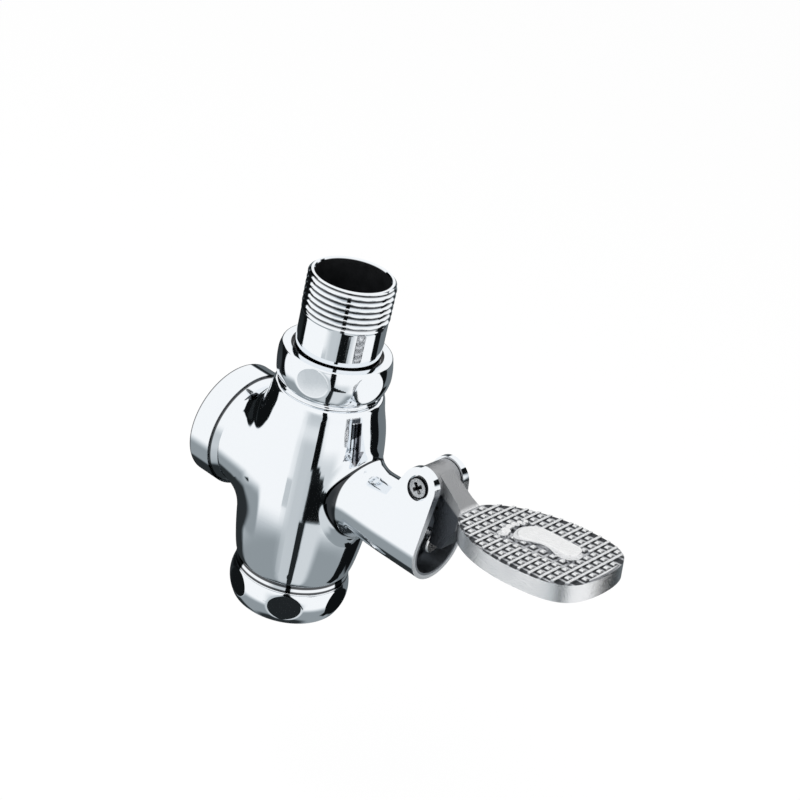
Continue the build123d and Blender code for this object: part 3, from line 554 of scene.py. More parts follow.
def thread_paint(shader, point):
    x, y, height = shader.split(point)
    # painted shade in the thread's roots, along the threaded length
    deep = shader.below(shader.far(x, y), *ROOT_EDGE)
    cut = deep * shader.step(height, -17 * MM, -16 * MM)
    cut = cut * shader.below(height, -0.5 * MM, -0.25 * MM)
    return marked_ring(shader, point, cut, PLATE, ROOT_SHADE)


def arrow_paint(shader, point):
    x, y, _ = shader.split(point)
    aside = (shader.math("ARCTAN2", y, x) - ARROW_AZIMUTH) * ARROW_RADIUS
    # painted highlight on the near edge, and bands of painted shade across the top
    bright = shader.below(aside, -1.3, -1.1)
    black = shader.window(aside, -1.1, -0.7, 0.15) + shader.window(aside, 0.2, 1.2, 0.2)
    metal = shader.tint(black, ARROW_SHADE_GREY, ARROW_SHADE_BLACK)
    return marked_ring(shader, point, bright, metal, PLATE)


nut_chrome = principled("nut_chrome", PLATE, 1.0, nut_paint)
tail_chrome = principled("tail_chrome", PLATE, 1.0, thread_paint)
arrow_chrome = principled("arrow_chrome", PLATE, 1.0, arrow_paint)
print("with dark places:", nut_chrome.name, tail_chrome.name, arrow_chrome.name)

# %% [markdown]
# ### Cast pedal
# The pedal is cast and then plated without much polishing, so it stays satin: grains a few tenths
# of a millimetre across blur the reflections. The tread's floor is painted darker than the bars as
# shade, and darkest round each pip as painted shadow. Both are found in the plate's own frame, which
# leans 7 degrees. The arm is left as cast, and the web below it, which sees little light, is painted
# with shade.

# %% Cast pedal
PLATE_TILT = math.radians(7)
PLATE_OUT = Vector((math.cos(PLATE_TILT), 0, math.sin(PLATE_TILT)))
PLATE_UP = Vector((-math.sin(PLATE_TILT), 0, math.cos(PLATE_TILT)))
TREAD_DEPTH = 0.7 * MM
PLATE_ORIGIN = Vector((72.8, 0, -59.3)) * MM - PLATE_UP * TREAD_DEPTH
PIP_FIRST = 2.94  # the pips' grid, in millimetres out along the plate and sideways
PIP_PITCH = 4.185
PIP_SHIFT = -0.5
PIP_SIDE_PITCH = 4.2
WEB_SLOPE = 0.5  # the arm's lower edge falls this much for each millimetre out
WEB_TOP = -26.5 * MM
WEB_OUT = 72.6 * MM


def cast_paint(shader, point):
    grain = shader.noise(point, 1500, 4.0, 0.65)
    patch = shader.noise(point, 160, 3.0)
    offset = shader.vector("SUBTRACT", point, PLATE_ORIGIN)
    along, above = [shader.dot(offset, axis) for axis in (PLATE_OUT, PLATE_UP)]
    out, aside, height = shader.split(point)
    groove_shade = shader.below(above, 0.1 * MM, 0.62 * MM) * shader.step(above, -0.2 * MM, -0.05 * MM)
    groove_shade = groove_shade * shader.step(along, 0.4 * MM, 0.8 * MM)
    cell = []
    for spot, first, pitch in ((along, PIP_FIRST, PIP_PITCH), (aside, PIP_SHIFT, PIP_SIDE_PITCH)):
        part = shader.math("WRAP", spot - first * MM, pitch * MM / 2, -pitch * MM / 2)
        cell.append(shader.math("ABSOLUTE", part))
    ring = shader.below(shader.math("MAXIMUM", *cell), 1.35 * MM, 1.75 * MM)
    arm = shader.below(along, -1 * MM, 1 * MM)
    web_shade = shader.below(height + out * WEB_SLOPE, WEB_TOP - 1.2 * MM, WEB_TOP)
    web_shade = web_shade * shader.below(out, WEB_OUT - MM, WEB_OUT)
    metal = shader.tint(patch, (0.72, 0.73, 0.745, 1), (0.95, 0.955, 0.965, 1))
    metal = shader.tint(arm * 0.75, metal, (0.24, 0.245, 0.255, 1))
    # painted shade on the web under the arm
    metal = shader.tint(web_shade * 0.9, metal, (0.06, 0.07, 0.085, 1))
    # painted shade on the tread's floor, with painted shadow in a ring round each pip
    floor = shader.tint(ring, (0.52, 0.53, 0.55, 1), (0.03, 0.034, 0.04, 1))
    return {
        "Base Color": shader.tint(groove_shade, metal, floor),
        "Roughness": 0.14 + patch * 0.14 + arm * 0.12,
        "Normal": bump(shader, grain * (arm * 2 + 1), 0.12 * MM, 0.8),
    }


cast = principled("satin_cast", (0.74, 0.745, 0.755, 1), 1.0, cast_paint)
print("cast:", cast.name, len(cast.node_tree.nodes), "nodes")

# %% [markdown]
# ### Rubbed, turned and other finishes
# A linished sole has scratches along one way, and a turned piece has the fine rings of the lathe
# tool. Both are noise at a place that is squeezed along the way that they run.

# %% Other finishes
PIVOT_X = 56.1 * MM
PIVOT_Z = -57.1 * MM
CROSS_HALF_WIDTH = (0.5 * MM, 0.75 * MM)
CROSS_HALF_LENGTH = (2.1 * MM, 2.5 * MM)
HEAD_EDGE = (3.55 * MM, 3.75 * MM)
HEAD_FACE = (-8.2 * MM, -8.0 * MM)
HEAD_DOME = -220  # height of the head's dome by the square of the distance


def rubbed_paint(shader, point):
    """The top of the sole is linished flat, so it is bright with fine scratches along one way."""
    x, y, z = shader.split(point)
    scratch = shader.noise(shader.join(x * 0.12, y, z), 2200, 3.0)
    patch = shader.noise(point, 260, 3.0)
    return {
        "Base Color": shader.tint(patch, (0.86, 0.865, 0.87, 1), (0.97, 0.97, 0.975, 1)),
        "Roughness": 0.2 + scratch * 0.14,
        "Normal": bump(shader, scratch, 0.03 * MM),
    }


def bore_shade_paint(shader, point):
    # the bore is painted near black as shade
    stain = shader.noise(point, 220, 4.0)
    return {
        "Base Color": shader.tint(stain, (0.002, 0.0022, 0.0026, 1), (0.012, 0.013, 0.015, 1)),
        "Roughness": 0.35 + stain * 0.25,
        "Normal": bump(shader, stain, 0.1 * MM),
    }


def lathe_paint(shader, point):
    x, y, z = shader.split(point)
    cut = shader.noise(shader.join(x * 0.05, y * 0.05, z), 2600, 2.0)
    stain = shader.noise(point, 260, 3.0)
    return {
        "Base Color": shader.tint(stain, (0.62, 0.44, 0.19, 1), (0.80, 0.63, 0.33, 1)),
        "Roughness": 0.22 + cut * 0.14,
        "Normal": bump(shader, cut, 0.02 * MM),
    }


def steel_paint(shader, point):
    drawn = shader.noise(point, 1900, 3.0)
    return {
        "Roughness": 0.14 + drawn * 0.12,
        "Normal": bump(shader, drawn, 0.015 * MM),
    }


def screw_paint(shader, point):
    """The pivot screw's head: bright, with painted shade in its cross recess and in the gap round
    it.
    """
    x, y, z = shader.split(point)
    aside = x - PIVOT_X
    above = z - PIVOT_Z
    far = shader.far(aside, above)
    cross = 0
    slants = (aside + above) * math.sqrt(0.5), (aside - above) * math.sqrt(0.5)
    slants = [shader.math("ABSOLUTE", slant) for slant in slants]
    for across_it, along_it in (slants, slants[::-1]):
        arm = shader.below(across_it, *CROSS_HALF_WIDTH)
        arm = arm * shader.below(along_it, *CROSS_HALF_LENGTH)
        cross = shader.math("MAXIMUM", cross, arm)
    gap = shader.step(far, *HEAD_EDGE)
    # painted shade in the cross recess and in the gap round the head
    painted_shade = shader.math("MAXIMUM", cross, gap) * shader.below(y, *HEAD_FACE)
    drawn = shader.noise(point, 1900, 3.0)
    return {
        "Base Color": shader.tint(painted_shade, (0.80, 0.815, 0.83, 1), (0.008, 0.009, 0.011, 1)),
        "Roughness": 0.1 + drawn * 0.1,
        "Normal": bump(shader, far * far * HEAD_DOME + drawn * 0.02, 0.6),
    }


def rubber_paint(shader, point):
    grain = shader.noise(point, 2400, 3.0)
    bloom = shader.noise(point, 180, 3.0)
    return {
        "Base Color": shader.tint(bloom, (0.028, 0.028, 0.031, 1), (0.065, 0.064, 0.067, 1)),
        "Roughness": 0.55 + bloom * 0.2,
        "Normal": bump(shader, grain, 0.05 * MM),
    }


def fibre_paint(shader, point):
    strand = shader.noise(point, 1400, 5.0, 0.7)
    return {
        "Base Color": shader.tint(strand, (0.22, 0.045, 0.035, 1), (0.46, 0.13, 0.09, 1)),
        "Roughness": 0.6 + strand * 0.25,
        "Normal": bump(shader, strand, 0.08 * MM),
    }


rubbed = principled("rubbed_metal", (0.93, 0.93, 0.935, 1), 1.0, rubbed_paint)
bore_shade = principled("painted_bore_shade", (0.03, 0.028, 0.026, 1), 0.0, bore_shade_paint)
brass = principled("turned_brass", (0.72, 0.56, 0.30, 1), 1.0, lathe_paint)
steel = principled("bright_steel", (0.72, 0.725, 0.735, 1), 1.0, steel_paint)
screw = principled("screw_steel", (0.72, 0.725, 0.735, 1), 1.0, screw_paint)
rubber = principled("black_rubber", (0.04, 0.04, 0.044, 1), 0.0, rubber_paint)
fibre = principled("red_fibre", (0.35, 0.08, 0.06, 1), 0.0, fibre_paint)
print("finishes:", len(bpy.data.materials) - 1)

# %% [markdown]
# Every CAD node keeps its shape and gets the finish of its slot in the record. The body and the
# gland get the body's chrome, and the screw gets painted shade in its cross recess and round its
# head.

# %% Finishes on the CAD nodes
FINISHES = {
    "chromed_brass": ring_chrome, "pedal_metal": cast, "brass": brass,
    "steel": steel, "rubber": rubber, "fibre": fibre,
}
OWN_FINISHES = {"valve_body": chrome, "gland_bush": chrome, "pivot_screw": screw}
for part in frame["record"]["subparts"]:
    finish = OWN_FINISHES.get(part["node"], FINISHES[part["material_slot"]])
    for slot in frame["nodes"][part["node"]].material_slots:
        slot.material = finish

# %% [markdown]
# ## Turned pieces with a thread
# A thread is a groove that climbs one pitch a turn. The tail is a lathe profile, so its surface is
# a grid of rows up the axis and columns round it. Where the thread is, a point's radius follows
# how far it lies along the pitch, and that distance is shifted by its share of a turn.

# %% Turned mesh
def link_mesh(name, points, faces, smooth_angle=math.radians(35)):
    """A new object at the origin, smooth but for its sharper edges."""
    mesh = bpy.data.meshes.new(name)
    mesh.from_pydata(points, [], faces)
    mesh.validate()
    mesh.shade_smooth()
    mesh.set_sharp_from_angle(angle=smooth_angle)
    return add_object(name, mesh)


def strip(first, second, count):
    """Faces between two closed rows of points, which are given by their first point."""
    faces = []
    for column in range(count):
        beside = (column + 1) % count
        faces.append((first + column, first + beside, second + beside, second + column))
    return faces


def finish_piece(piece, body, slot, *materials):
    """Gives a piece its materials and the body that carries it. The slot is not used."""
    for material in materials:
        piece.data.materials.append(material)
    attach(piece, body)
    print(piece.name, "faces", len(piece.data.polygons))


def turned(name, profile, columns, radius_at, *materials):
    """A plated ring from (radius, height) points in millimetres, in order round its section."""
    pairs = zip(profile, profile[1:] + profile[:1])
    if sum(first[0] * second[1] - second[0] * first[1] for first, second in pairs) < 0:
        profile = profile[::-1]
    points = []
    for radius, height in profile:
        for column in range(columns):
            angle = 2 * math.pi * column / columns
            here = radius_at(radius, height, angle)
            points.append((here * math.cos(angle) * MM, here * math.sin(angle) * MM, height * MM))
    faces = []
    for row in range(len(profile)):
        faces += strip(row * columns, (row + 1) % len(profile) * columns, columns)
    piece = link_mesh(name, points, faces)
    finish_piece(piece, "valve", "chromed_brass", *materials)
    return piece


THREAD_PITCH = 2.309
THREAD_DEPTH = 1.15


def flank_at(height, angle, pitch=THREAD_PITCH):
    """1 on a thread's crest, 0 in its root and even slopes between them."""
    turn = (height / pitch + angle / (2 * math.pi)) % 1
    return abs(2 * turn - 1)


print("thread pitch", THREAD_PITCH, "depth", THREAD_DEPTH)

# %% [markdown]
# The inlet tail is a threaded nipple with a flange that the union nut pulls up. Its thread has a
# blunt crest, starts on a chamfer and runs out into the plain barrel. Its bore isn't plated, and its
# near-black colour is painted shade.

# %% Inlet tail
TAIL_COLUMNS = 144
TAIL_CREST = 16.6
TAIL_BORE = 14.1
TAIL_BARREL = 16.25
TAIL_THREAD_END = -16.5
TAIL_LEAD = 1.1  # slope of the chamfer that starts the thread
CREST_FLAT = 0.12  # share of the pitch that is flat on a crest or in a root
FLANGE_R = 19.0
FLANGE_TOP = -33.35
FLANGE_BOTTOM = -35.85
THREAD_STEP = 0.14


def tail_radius(radius, height, angle):
    """The thread, flat on its crests, chamfered at its start and run out at its end."""
    if radius != TAIL_CREST:
        return radius
    root = TAIL_CREST - THREAD_DEPTH
    shape = (flank_at(height, angle) - CREST_FLAT) / (1 - 2 * CREST_FLAT)
    flank = root + THREAD_DEPTH * min(max(shape, 0), 1)
    chamfered = min(flank, root - height * TAIL_LEAD)
    runout = min(max((height - TAIL_THREAD_END) / THREAD_PITCH, 0), 1)
    return (TAIL_CREST - THREAD_DEPTH * 0.3) * (1 - runout) + chamfered * runout


def build_tail():
    outer = [(TAIL_BORE + 0.45, 0.0), (TAIL_CREST - 1.1, -0.02)]
    rows = int(-TAIL_THREAD_END / THREAD_STEP)
    outer += [(TAIL_CREST, -0.12 - THREAD_STEP * row) for row in range(rows)]
    outer += [
        (TAIL_BARREL, TAIL_THREAD_END - 0.6), (TAIL_BARREL, FLANGE_TOP),
        (FLANGE_R, FLANGE_TOP), (FLANGE_R, FLANGE_BOTTOM),
    ]
    inner = [(TAIL_BORE, FLANGE_BOTTOM), (TAIL_BORE, -0.5)]
    tail = turned("threaded_tail", outer + inner, TAIL_COLUMNS, tail_radius, tail_chrome, bore_shade)
    for face in tail.data.polygons:
        if math.hypot(face.center.x, face.center.y) < (TAIL_BORE + 0.05) * MM:
            face.material_index = 1
    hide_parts("inlet_tail")


build_tail()

# %% [markdown]
# The union nut and the bottom cap are domed rings with six flats for a spanner. A flat is a plane,
# so at an angle from its middle the metal ends at the plane's distance over the cosine. Taking the
# lesser of that and the lathe profile cuts the flats, and a few hundredths of a millimetre more
# off the corner between the two give each flat the thin dark outline that polished metal has.

# %% Nut and cap
FLAT_COLUMNS = 360
FLAT_CORNER = 0.16  # how far from the corner metal is taken off


def with_flats(distance, first_flat, low, high):
    """A radius_at function that cuts six flats between two heights."""

    def radius_at(radius, height, angle):
        if not low < height < high:
            return radius
        turn = (angle - first_flat + math.pi / 6) % (math.pi / 3) - math.pi / 6
        plane = distance / math.cos(turn)
        gap = max(FLAT_CORNER - abs(radius - plane), 0) / FLAT_CORNER
        return min(radius, plane) - gap * gap * FLAT_CORNER / 4

    return radius_at


def arc_through(first, middle, last, steps):
    """Points on the circle through three points, without the first."""
    (ax, ay), (bx, by), (cx, cy) = first, middle, last
    d = 2 * (ax * (by - cy) + bx * (cy - ay) + cx * (ay - by))
    sa, sb, sc = ax * ax + ay * ay, bx * bx + by * by, cx * cx + cy * cy
    x = (sa * (by - cy) + sb * (cy - ay) + sc * (ay - by)) / d
    y = (sa * (cx - bx) + sb * (ax - cx) + sc * (bx - ax)) / d
    radius = math.hypot(ax - x, ay - y)
    start = math.atan2(ay - y, ax - x)
    sweep = (math.atan2(cy - y, cx - x) - start + math.pi) % (2 * math.pi) - math.pi
    angles = (start + sweep * step / steps for step in range(1, steps + 1))
    return [(x + radius * math.cos(angle), y + radius * math.sin(angle)) for angle in angles]


NUT_TOP = -30.15
NUT_BOTTOM = -43.15
NUT_FLAT_DISTANCE = 20.85
NUT_FIRST_FLAT = math.radians(-10.5)
CAP_TOP = -126.0
CAP_BOTTOM = -140.5
CAP_FLAT_DISTANCE = 22.45
CAP_FIRST_FLAT = math.radians(-51)


def build_nut():
    corner = (21.0, NUT_TOP - 0.8)
    side = arc_through((20.6, NUT_BOTTOM), (21.9, NUT_TOP - 5.46), corner, 44)
    outer = [(20.35, NUT_BOTTOM), (20.6, NUT_BOTTOM + 0.02)] + side
    edge = arc_through(corner, (20.77, NUT_TOP - 0.23), (20.2, NUT_TOP), 6)
    inner = [
        (17.75, NUT_TOP), (17.5, NUT_TOP - 0.12), (17.35, NUT_TOP - 1.5), (16.4, NUT_TOP - 1.6),
        (16.4, FLANGE_TOP), (19.4, FLANGE_TOP), (19.4, NUT_BOTTOM),
    ]
    radius_at = with_flats(NUT_FLAT_DISTANCE, NUT_FIRST_FLAT, NUT_BOTTOM - 1, NUT_TOP - 0.3)
    nut = turned("domed_nut", outer + edge + inner, FLAT_COLUMNS, radius_at, nut_chrome)
    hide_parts("union_nut")


def build_cap():
    bead = arc_through((22.15, CAP_TOP), (22.5, CAP_TOP - 0.45), (22.15, CAP_TOP - 0.9), 8)
    corner = (21.6, CAP_BOTTOM + 0.72)
    side = arc_through((22.35, CAP_TOP - 1.0), (23.5, CAP_TOP - 6.03), corner, 44)
    foot = arc_through(corner, (21.35, CAP_BOTTOM + 0.22), (20.7, CAP_BOTTOM), 6)
    inner = [
        (0.01, CAP_BOTTOM), (0.01, CAP_BOTTOM + 4.1), (16.8, CAP_BOTTOM + 4.1),
        (16.8, CAP_TOP + 7.4), (19.5, CAP_TOP + 7.4), (19.5, CAP_TOP),
    ]
    outer = [(22.15, CAP_TOP)] + bead + side + foot
    radius_at = with_flats(CAP_FLAT_DISTANCE, CAP_FIRST_FLAT, CAP_BOTTOM + 0.5, CAP_TOP - 0.95)
    cap = turned("domed_cap", outer + inner, FLAT_COLUMNS, radius_at, ring_chrome)
    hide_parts("bottom_cap")


build_nut()
build_cap()

# %% [markdown]
# Under the nut a last turn or two of the body's own thread shows. It is a thin threaded ring round
# the spigot.

# %% Spigot thread
RING_COLUMNS = 128
SPIGOT_PITCH = 1.5
SPIGOT_DEPTH = 0.7
SPIGOT_CREST = 19.9
SPIGOT_CORE = 19.0
SPIGOT_HIGH = -42.0
SPIGOT_LOW = -46.1


def build_spigot_thread():
    rows = int((SPIGOT_HIGH - SPIGOT_LOW) / THREAD_STEP)
    outer = [(SPIGOT_CREST, SPIGOT_HIGH - THREAD_STEP * row) for row in range(rows)]
    inner = [(SPIGOT_CORE - 0.8, SPIGOT_LOW), (SPIGOT_CORE - 0.8, SPIGOT_HIGH)]

    def radius_at(radius, height, angle):
        if radius != SPIGOT_CREST:
            return radius
        return SPIGOT_CREST - SPIGOT_DEPTH * (1 - flank_at(height, angle, SPIGOT_PITCH))

    turned("spigot_thread", outer + inner, RING_COLUMNS, radius_at, ring_chrome)


build_spigot_thread()

# %% [markdown]
# The outlet has a thread inside, for the flush pipe's adaptor. It is the same kind of ring with
# the ridges on its inner side, laid over so that its axis points out of the branch.

# %% Outlet thread
OUTLET_MAJOR = 19.4
OUTLET_RIDGE = 1.1
OUTLET_DEEP = 33.2
OUTLET_FACE = 42.3


def build_outlet_thread():
    rows = int((OUTLET_FACE - OUTLET_DEEP) / THREAD_STEP)
    ridges = [(OUTLET_MAJOR - 1, OUTLET_DEEP + THREAD_STEP * row) for row in range(rows)]
    outer = [(OUTLET_MAJOR, OUTLET_FACE), (OUTLET_MAJOR, OUTLET_DEEP)]

    def radius_at(radius, height, angle):
        if radius == OUTLET_MAJOR:
            return radius
        ends = min(OUTLET_FACE - height, height - OUTLET_DEEP) / THREAD_PITCH
        ends = min(max(ends, 0.1), 1)
        return OUTLET_MAJOR - 0.05 - OUTLET_RIDGE * flank_at(height, angle) * ends

    ring = turned("outlet_thread", ridges + outer, RING_COLUMNS, radius_at, ring_chrome)
    lying = Matrix.Rotation(math.radians(-90), 4, "Y")
    ring.data.transform(Matrix.Translation((0, 0, BRANCH_HEIGHT)) @ lying)


build_outlet_thread()

# %% [markdown]
# ## Flow arrow
# The casting carries a raised arrow that shows which way the water goes. It is laid on the barrel
# by casting rays at the body, so it follows the curve.

# %% Flow arrow
body_tree = BVHTree.FromObject(frame["nodes"]["valve_body"], bpy.context.evaluated_depsgraph_get())
ARROW_HIGH = -50.0
ARROW_LOW = -66.0
ARROW_HALF = 2.0
ARROW_HEAD_HALF = 3.5
ARROW_HEAD = 5.0
ARROW_RISE = 0.5
ARROW_FOOT = -0.2  # the sides go this far below the barrel's surface
ARROW_ACROSS = (-1, -0.93, -0.5, 0, 0.5, 0.93, 1)
SHAFT_STEPS = 24
HEAD_STEPS = 12
RAY_START = 32.0  # outside the barrel, and short of the ears


def barrel_point(sideways, height, rise):
    """A point over the barrel at so many millimetres beside the arrow's line."""
    angle = ARROW_AZIMUTH + sideways / ARROW_RADIUS
    outward = Vector((math.cos(angle), math.sin(angle), 0))
    start = outward * RAY_START * MM + Vector((0, 0, height * MM))
    hit = body_tree.ray_cast(start, -outward)[0]
    return hit + outward * rise * MM


def build_arrow():
    """Rows down the arrow, each from its left foot over the top to its right foot."""
    neck = ARROW_LOW + ARROW_HEAD
    rows = [(ARROW_HIGH + 0.02, ARROW_HALF, ARROW_FOOT)]
    for step in range(SHAFT_STEPS + 1):
        height = ARROW_HIGH + (neck - ARROW_HIGH) * step / SHAFT_STEPS
        rows.append((height, ARROW_HALF, ARROW_RISE))
    for step in range(HEAD_STEPS + 1):
        height = neck - 0.02 - (ARROW_HEAD - 0.4) * step / HEAD_STEPS
        rows.append((height, ARROW_HEAD_HALF * (1 - step / (HEAD_STEPS + 0.6)), ARROW_RISE))
    rows.append((ARROW_LOW, 0.08, ARROW_FOOT))
    points = []
    for height, half, rise in rows:
        points.append(barrel_point(-half, height, ARROW_FOOT))
        points += [barrel_point(half * share, height, rise) for share in ARROW_ACROSS]
        points.append(barrel_point(half, height, ARROW_FOOT))
    count = len(ARROW_ACROSS) + 2
    faces = []
    last = len(points) - count
    for left in range(0, last, count):
        for first in range(left, left + count - 1):
            faces.append((first, first + count, first + count + 1, first + 1))
        faces.append((left, left + count - 1, left + 2 * count - 1, left + count))
    faces.append(tuple(range(count)))
    faces.append(tuple(reversed(range(last, len(points)))))
    arrow = link_mesh("flow_arrow", points, faces, math.radians(40))
    finish_piece(arrow, "valve", "chromed_brass", arrow_chrome)


build_arrow()

# %% [markdown]
# ## Tread
# The tread is drawn flat, in the plate's own frame: x runs out along the plate, y across it and z
# up from its floor. A matrix takes a drawn point to its place on the leaning plate.

# %% The plate's own frame
PLATE_SIDE = (
    (0, 5.1), (2.1, 8.9), (6.9, 13.6), (12.6, 17.0), (22, 20.4), (32, 21.9),
    (42, 21.7), (51, 19.8), (56.5, 15.8), (59.3, 9.2), (60.2, 0),
)
plate_frame = placed(PLATE_ORIGIN, PLATE_OUT, (0, 1, 0), PLATE_UP)


def smooth_loop(points, steps):
    """A closed curve through points in the plate's frame, in millimetres."""
    count = len(points)
    loop = []
    for index in range(count):
        near = (Vector(points[(index + shift) % count]) for shift in (-1, 0, 1, 2))
        before, first, second, after = near
        square = 2 * before - 5 * first + 4 * second - after
        cube = 3 * first - before - 3 * second + after
        for step in range(steps):
            t = step / steps
            loop.append(0.5 * (2 * first + (second - before) * t + square * t**2 + cube * t**3))
    return loop


def inset_loop(loop, amount):
    """The loop moved inwards, which is to the left of its direction."""
    count = len(loop)
    moved = []
    for index, point in enumerate(loop):
        along = (loop[(index + 1) % count] - loop[index - 1]).normalized()
        moved.append(point + Vector((-along.y, along.x)) * amount)
    return moved


print("plate frame at", [round(value, 4) for value in PLATE_ORIGIN])

# %% [markdown]
# The bare footprint in the middle of the tread tells the user what the pedal is for. It is a
# common sign, drawn here as a plain sole and five round toes, and it stands a little above the
# bars.

# %% Sole and toes
SOLE = (
    (46.5, 3.5), (44.5, 6.6), (38, 7.3), (31, 7.9), (25.5, 7.4), (22.6, 4.0), (22.4, -0.6),
    (24.6, -3.6), (28.5, -3.4), (33, -1.4), (38.5, -1.0), (44, -1.6), (46.3, 0.4),
)
# place along the plate, place across it and radius, in millimetres
TOES = (
    (19.6, 7.4, 1.0), (18.8, 4.9, 1.1), (18.3, 2.2, 1.2), (18.4, -0.7, 1.35), (19.6, -4.2, 1.9),
)
SOLE_RISE = 1.5
# inset from the loop and rise over the plate's floor, from the foot up
PAD_LAYERS = ((0.0, -0.3), (0.0, SOLE_RISE - 0.3), (0.1, SOLE_RISE - 0.08), (0.25, SOLE_RISE))


def raised_pad(name, loops):
    """Closed pads, each built from a loop and its inward steps up to a flat top."""
    points = []
    faces = []
    for loop in loops:
        count = len(loop)
        base = len(points)
        for inset, rise in PAD_LAYERS:
            moved = inset_loop(loop, inset)
            points += [plate_frame @ Vector((p.x * MM, p.y * MM, rise * MM)) for p in moved]
        top = base + (len(PAD_LAYERS) - 1) * count
        for row in range(base, top, count):
            faces += strip(row, row + count, count)
        faces.append(tuple(range(top, top + count)))
        faces.append(tuple(reversed(range(base, base + count))))
    return link_mesh(name, points, faces, math.radians(25))


def round_loop(place, side, radius, steps=20):
    loop = []
    for step in range(steps):
        turn = 2 * math.pi * step / steps
        loop.append(Vector((place + radius * math.cos(turn), side + radius * math.sin(turn))))
    return loop


sole_loop = smooth_loop(SOLE, 6)
pad_loops = [sole_loop] + [round_loop(*toe) for toe in TOES]
finish_piece(raised_pad("sole_pad", pad_loops), "pedal", "pedal_metal", rubbed)

# %% [markdown]
# Between the CAD's straight bars the pedal has rows of square pips, on a plate whose edge is a
# free curve. The script keeps the grid points that lie on the plate and clear of the footprint,
# and Geometry Nodes set one small truncated pyramid on each.

# %% Pips by Geometry Nodes
PIP_ROWS = range(15)
PIP_COLUMNS = range(-6, 7)
PIP_SIZE = 2.3
PIP_RISE = 0.78
PIP_TOP = 0.56  # share of its foot's size
PIP_EDGE = 1.25
SOLE_CLEAR = 1.0
TOE_CLEAR = 0.9


def node_group(name, numbers):
    """A Geometry Nodes tree that takes a mesh, the named numbers and a material."""
    tree = bpy.data.node_groups.new(name, "GeometryNodeTree")
    shader = Shader(tree)
    inputs = [("Geometry", "Geometry")] + [(number, "Float") for number in numbers]
    inputs.append(("Material", "Material"))
    for label, kind in inputs:
        tree.interface.new_socket(label, in_out="INPUT", socket_type="NodeSocket" + kind)
    tree.interface.new_socket("Geometry", in_out="OUTPUT", socket_type="NodeSocketGeometry")
    return shader, shader.node("NodeGroupInput").outputs


def end_group(shader, geometry, material):
    """Makes the instances real, paints them and gives them out. Returns the tree."""
    real = shader.node("GeometryNodeRealizeInstances", (), {"Geometry": geometry})
    inputs = {"Geometry": real.outputs[0], "Material": material}
    painted = shader.node("GeometryNodeSetMaterial", (), inputs)
    shader.node("NodeGroupOutput", (), {0: painted.outputs[0]})
    return shader.tree


def pip_tree():
    """One truncated pyramid on each point of the modifier's own mesh."""
    shader, given = node_group("pips", ("Size", "Rise"))
    size = Value(shader, given["Size"])
    cone = shader.node("GeometryNodeMeshCone", {"fill_type": "NGON"}, {
        "Vertices": 4, "Side Segments": 1, "Radius Top": size * (PIP_TOP * math.sqrt(0.5)),
        "Radius Bottom": size * math.sqrt(0.5), "Depth": given["Rise"],
    })
    turn = shader.node("GeometryNodeTransform", (), {
        "Geometry": cone.outputs["Mesh"], "Rotation": (0, 0, math.pi / 4),
    })
    spread = shader.node("GeometryNodeInstanceOnPoints", (), {
        "Points": given["Geometry"], "Instance": turn.outputs[0],
    })
    return end_group(shader, spread.outputs[0], given["Material"])


def grown(piece, tree, values):
    """Runs a Geometry Nodes tree on a piece and keeps its result as a plain mesh."""
    modifier = piece.modifiers.new("grow", "NODES")
    modifier.node_group = tree
    for item in tree.interface.items_tree:
        if item.in_out == "INPUT" and item.name in values:
            modifier[item.identifier] = values[item.name]
    bpy.context.view_layer.update()
    evaluated = piece.evaluated_get(bpy.context.evaluated_depsgraph_get())
    mesh = bpy.data.meshes.new_from_object(evaluated)
    piece.modifiers.remove(modifier)
    old = piece.data
    piece.data = mesh
    bpy.data.meshes.remove(old)
    mesh.name = piece.name


def within(point, loop):
    """Whether a line from the point crosses the loop an odd number of times."""
    inside = False
    for index, corner in enumerate(loop):
        before = loop[index - 1]
        if (corner.y > point.y) != (before.y > point.y):
            slope = (corner.x - before.x) / (corner.y - before.y)
            inside ^= before.x + slope * (point.y - before.y) > point.x
    return inside


def build_pips():
    half = [Vector(point) for point in PLATE_SIDE]
    outline = [Vector((p.x, -p.y)) for p in half] + list(reversed(half[:-1]))
    plate = inset_loop(outline, PIP_EDGE)
    holes = [inset_loop(sole_loop, -SOLE_CLEAR)]
    holes += [round_loop(place, side, radius + TOE_CLEAR) for place, side, radius in TOES]
    spots = []
    for row in PIP_ROWS:
        for column in PIP_COLUMNS:
            spot = Vector((PIP_FIRST + PIP_PITCH * row, PIP_SHIFT + PIP_SIDE_PITCH * column))
            if within(spot, plate) and not any(within(spot, hole) for hole in holes):
                spots.append((spot.x * MM, spot.y * MM, 0))
    mesh = bpy.data.meshes.new("pips")
    mesh.from_pydata(spots, [], [])
    pips = add_object("tread_pips", mesh)
    grown(pips, pip_tree(), {"Size": PIP_SIZE * MM, "Rise": PIP_RISE * MM, "Material": cast})
    pips.data.transform(plate_frame)
    finish_piece(pips, "pedal", "pedal_metal")
    print("pips:", len(spots))


build_pips()

# %% [markdown]
# ## Springs
# Three springs close the valve: one pushes the plunger out, one lifts the piston and one holds the
# relief valve shut. A coil is wire wound on a mandrel, so Geometry Nodes sweep a circle along a
# spiral. Each spring fills the length of the CAD spring that it replaces.

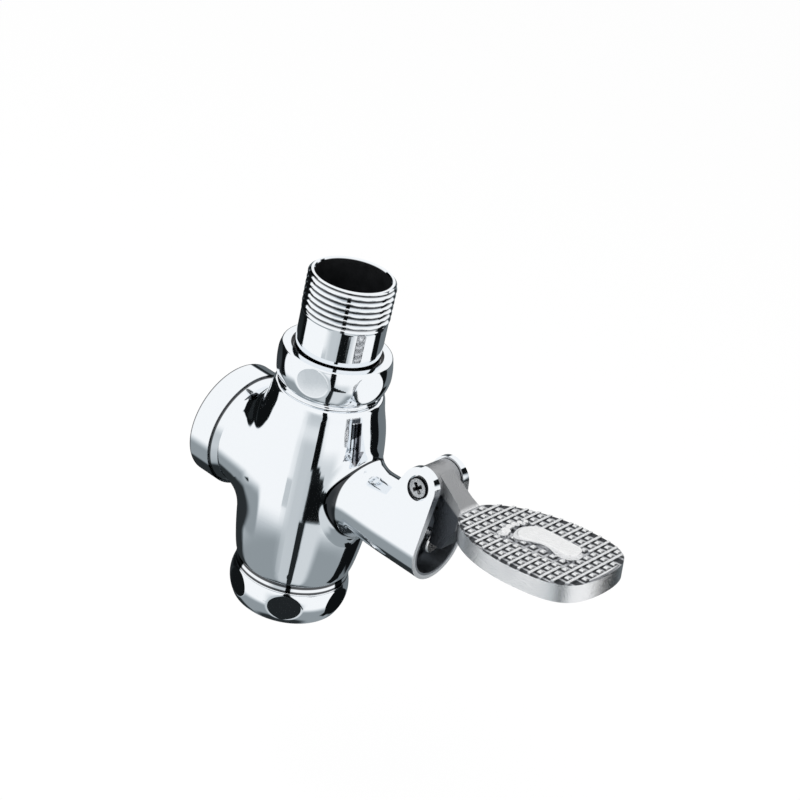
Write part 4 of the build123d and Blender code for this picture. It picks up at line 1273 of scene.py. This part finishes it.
# %% Springs
WIRE_SIDES = 10
COIL_STEPS = 30
COIL_GAP = 0.05  # at each end, in millimetres


def spring_tree():
    """Wire swept along a spiral that climbs +Z from the origin."""
    shader, given = node_group("coil", ("Turns", "Radius", "Length", "Wire"))
    spiral = shader.node("GeometryNodeCurveSpiral", (), {
        "Resolution": COIL_STEPS, "Rotations": given["Turns"], "Start Radius": given["Radius"],
        "End Radius": given["Radius"], "Height": given["Length"],
    })
    wire = shader.node("GeometryNodeCurvePrimitiveCircle", (), {
        "Resolution": WIRE_SIDES, "Radius": given["Wire"],
    })
    swept = shader.node("GeometryNodeCurveToMesh", (), {
        "Curve": spiral.outputs[0], "Profile Curve": wire.outputs["Curve"], "Fill Caps": True,
    })
    return end_group(shader, swept.outputs[0], given["Material"])


# name, replaced node, body, joint, axis, turns, outer radius, wire radius and kept share
SPRINGS = (
    ("plunger_coil", "plunger_spring", "valve", "plunger_slide", "x", 5.5, 4.2, 0.4, 0.42),
    ("piston_coil", "piston_spring", "valve", "piston_slide", "z", 6.5, 9.4, 0.42, 0.59),
    ("relief_coil", "relief_spring", "piston", "relief_tilt", "z", 4.5, 3.95, 0.4, 0.635),
)


def build_springs():
    tree = spring_tree()
    for name, node, body, joint, axis, turns, radius, wire, keep in SPRINGS:
        low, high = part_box(node)
        index = "xyz".index(axis)
        length = (high[index] - low[index]) / MM - 2 * wire - 2 * COIL_GAP
        coil = add_object(name, bpy.data.meshes.new(name))
        grown(coil, tree, {
            "Turns": turns, "Radius": (radius - wire) * MM, "Length": length * MM,
            "Wire": wire * MM, "Material": steel,
        })
        middle = (Vector(low) + Vector(high)) / 2
        middle[index] = low[index]
        middle[index] += (wire + COIL_GAP) * MM
        turn = Matrix.Rotation(math.radians(90 if axis == "x" else 0), 4, "Y")
        coil.data.transform(Matrix.Translation(middle) @ turn)
        coil.data.shade_smooth()
        finish_piece(coil, body, "steel")
        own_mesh(coil)
        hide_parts(node)
        print(name, "length", round(length, 2))


build_springs()
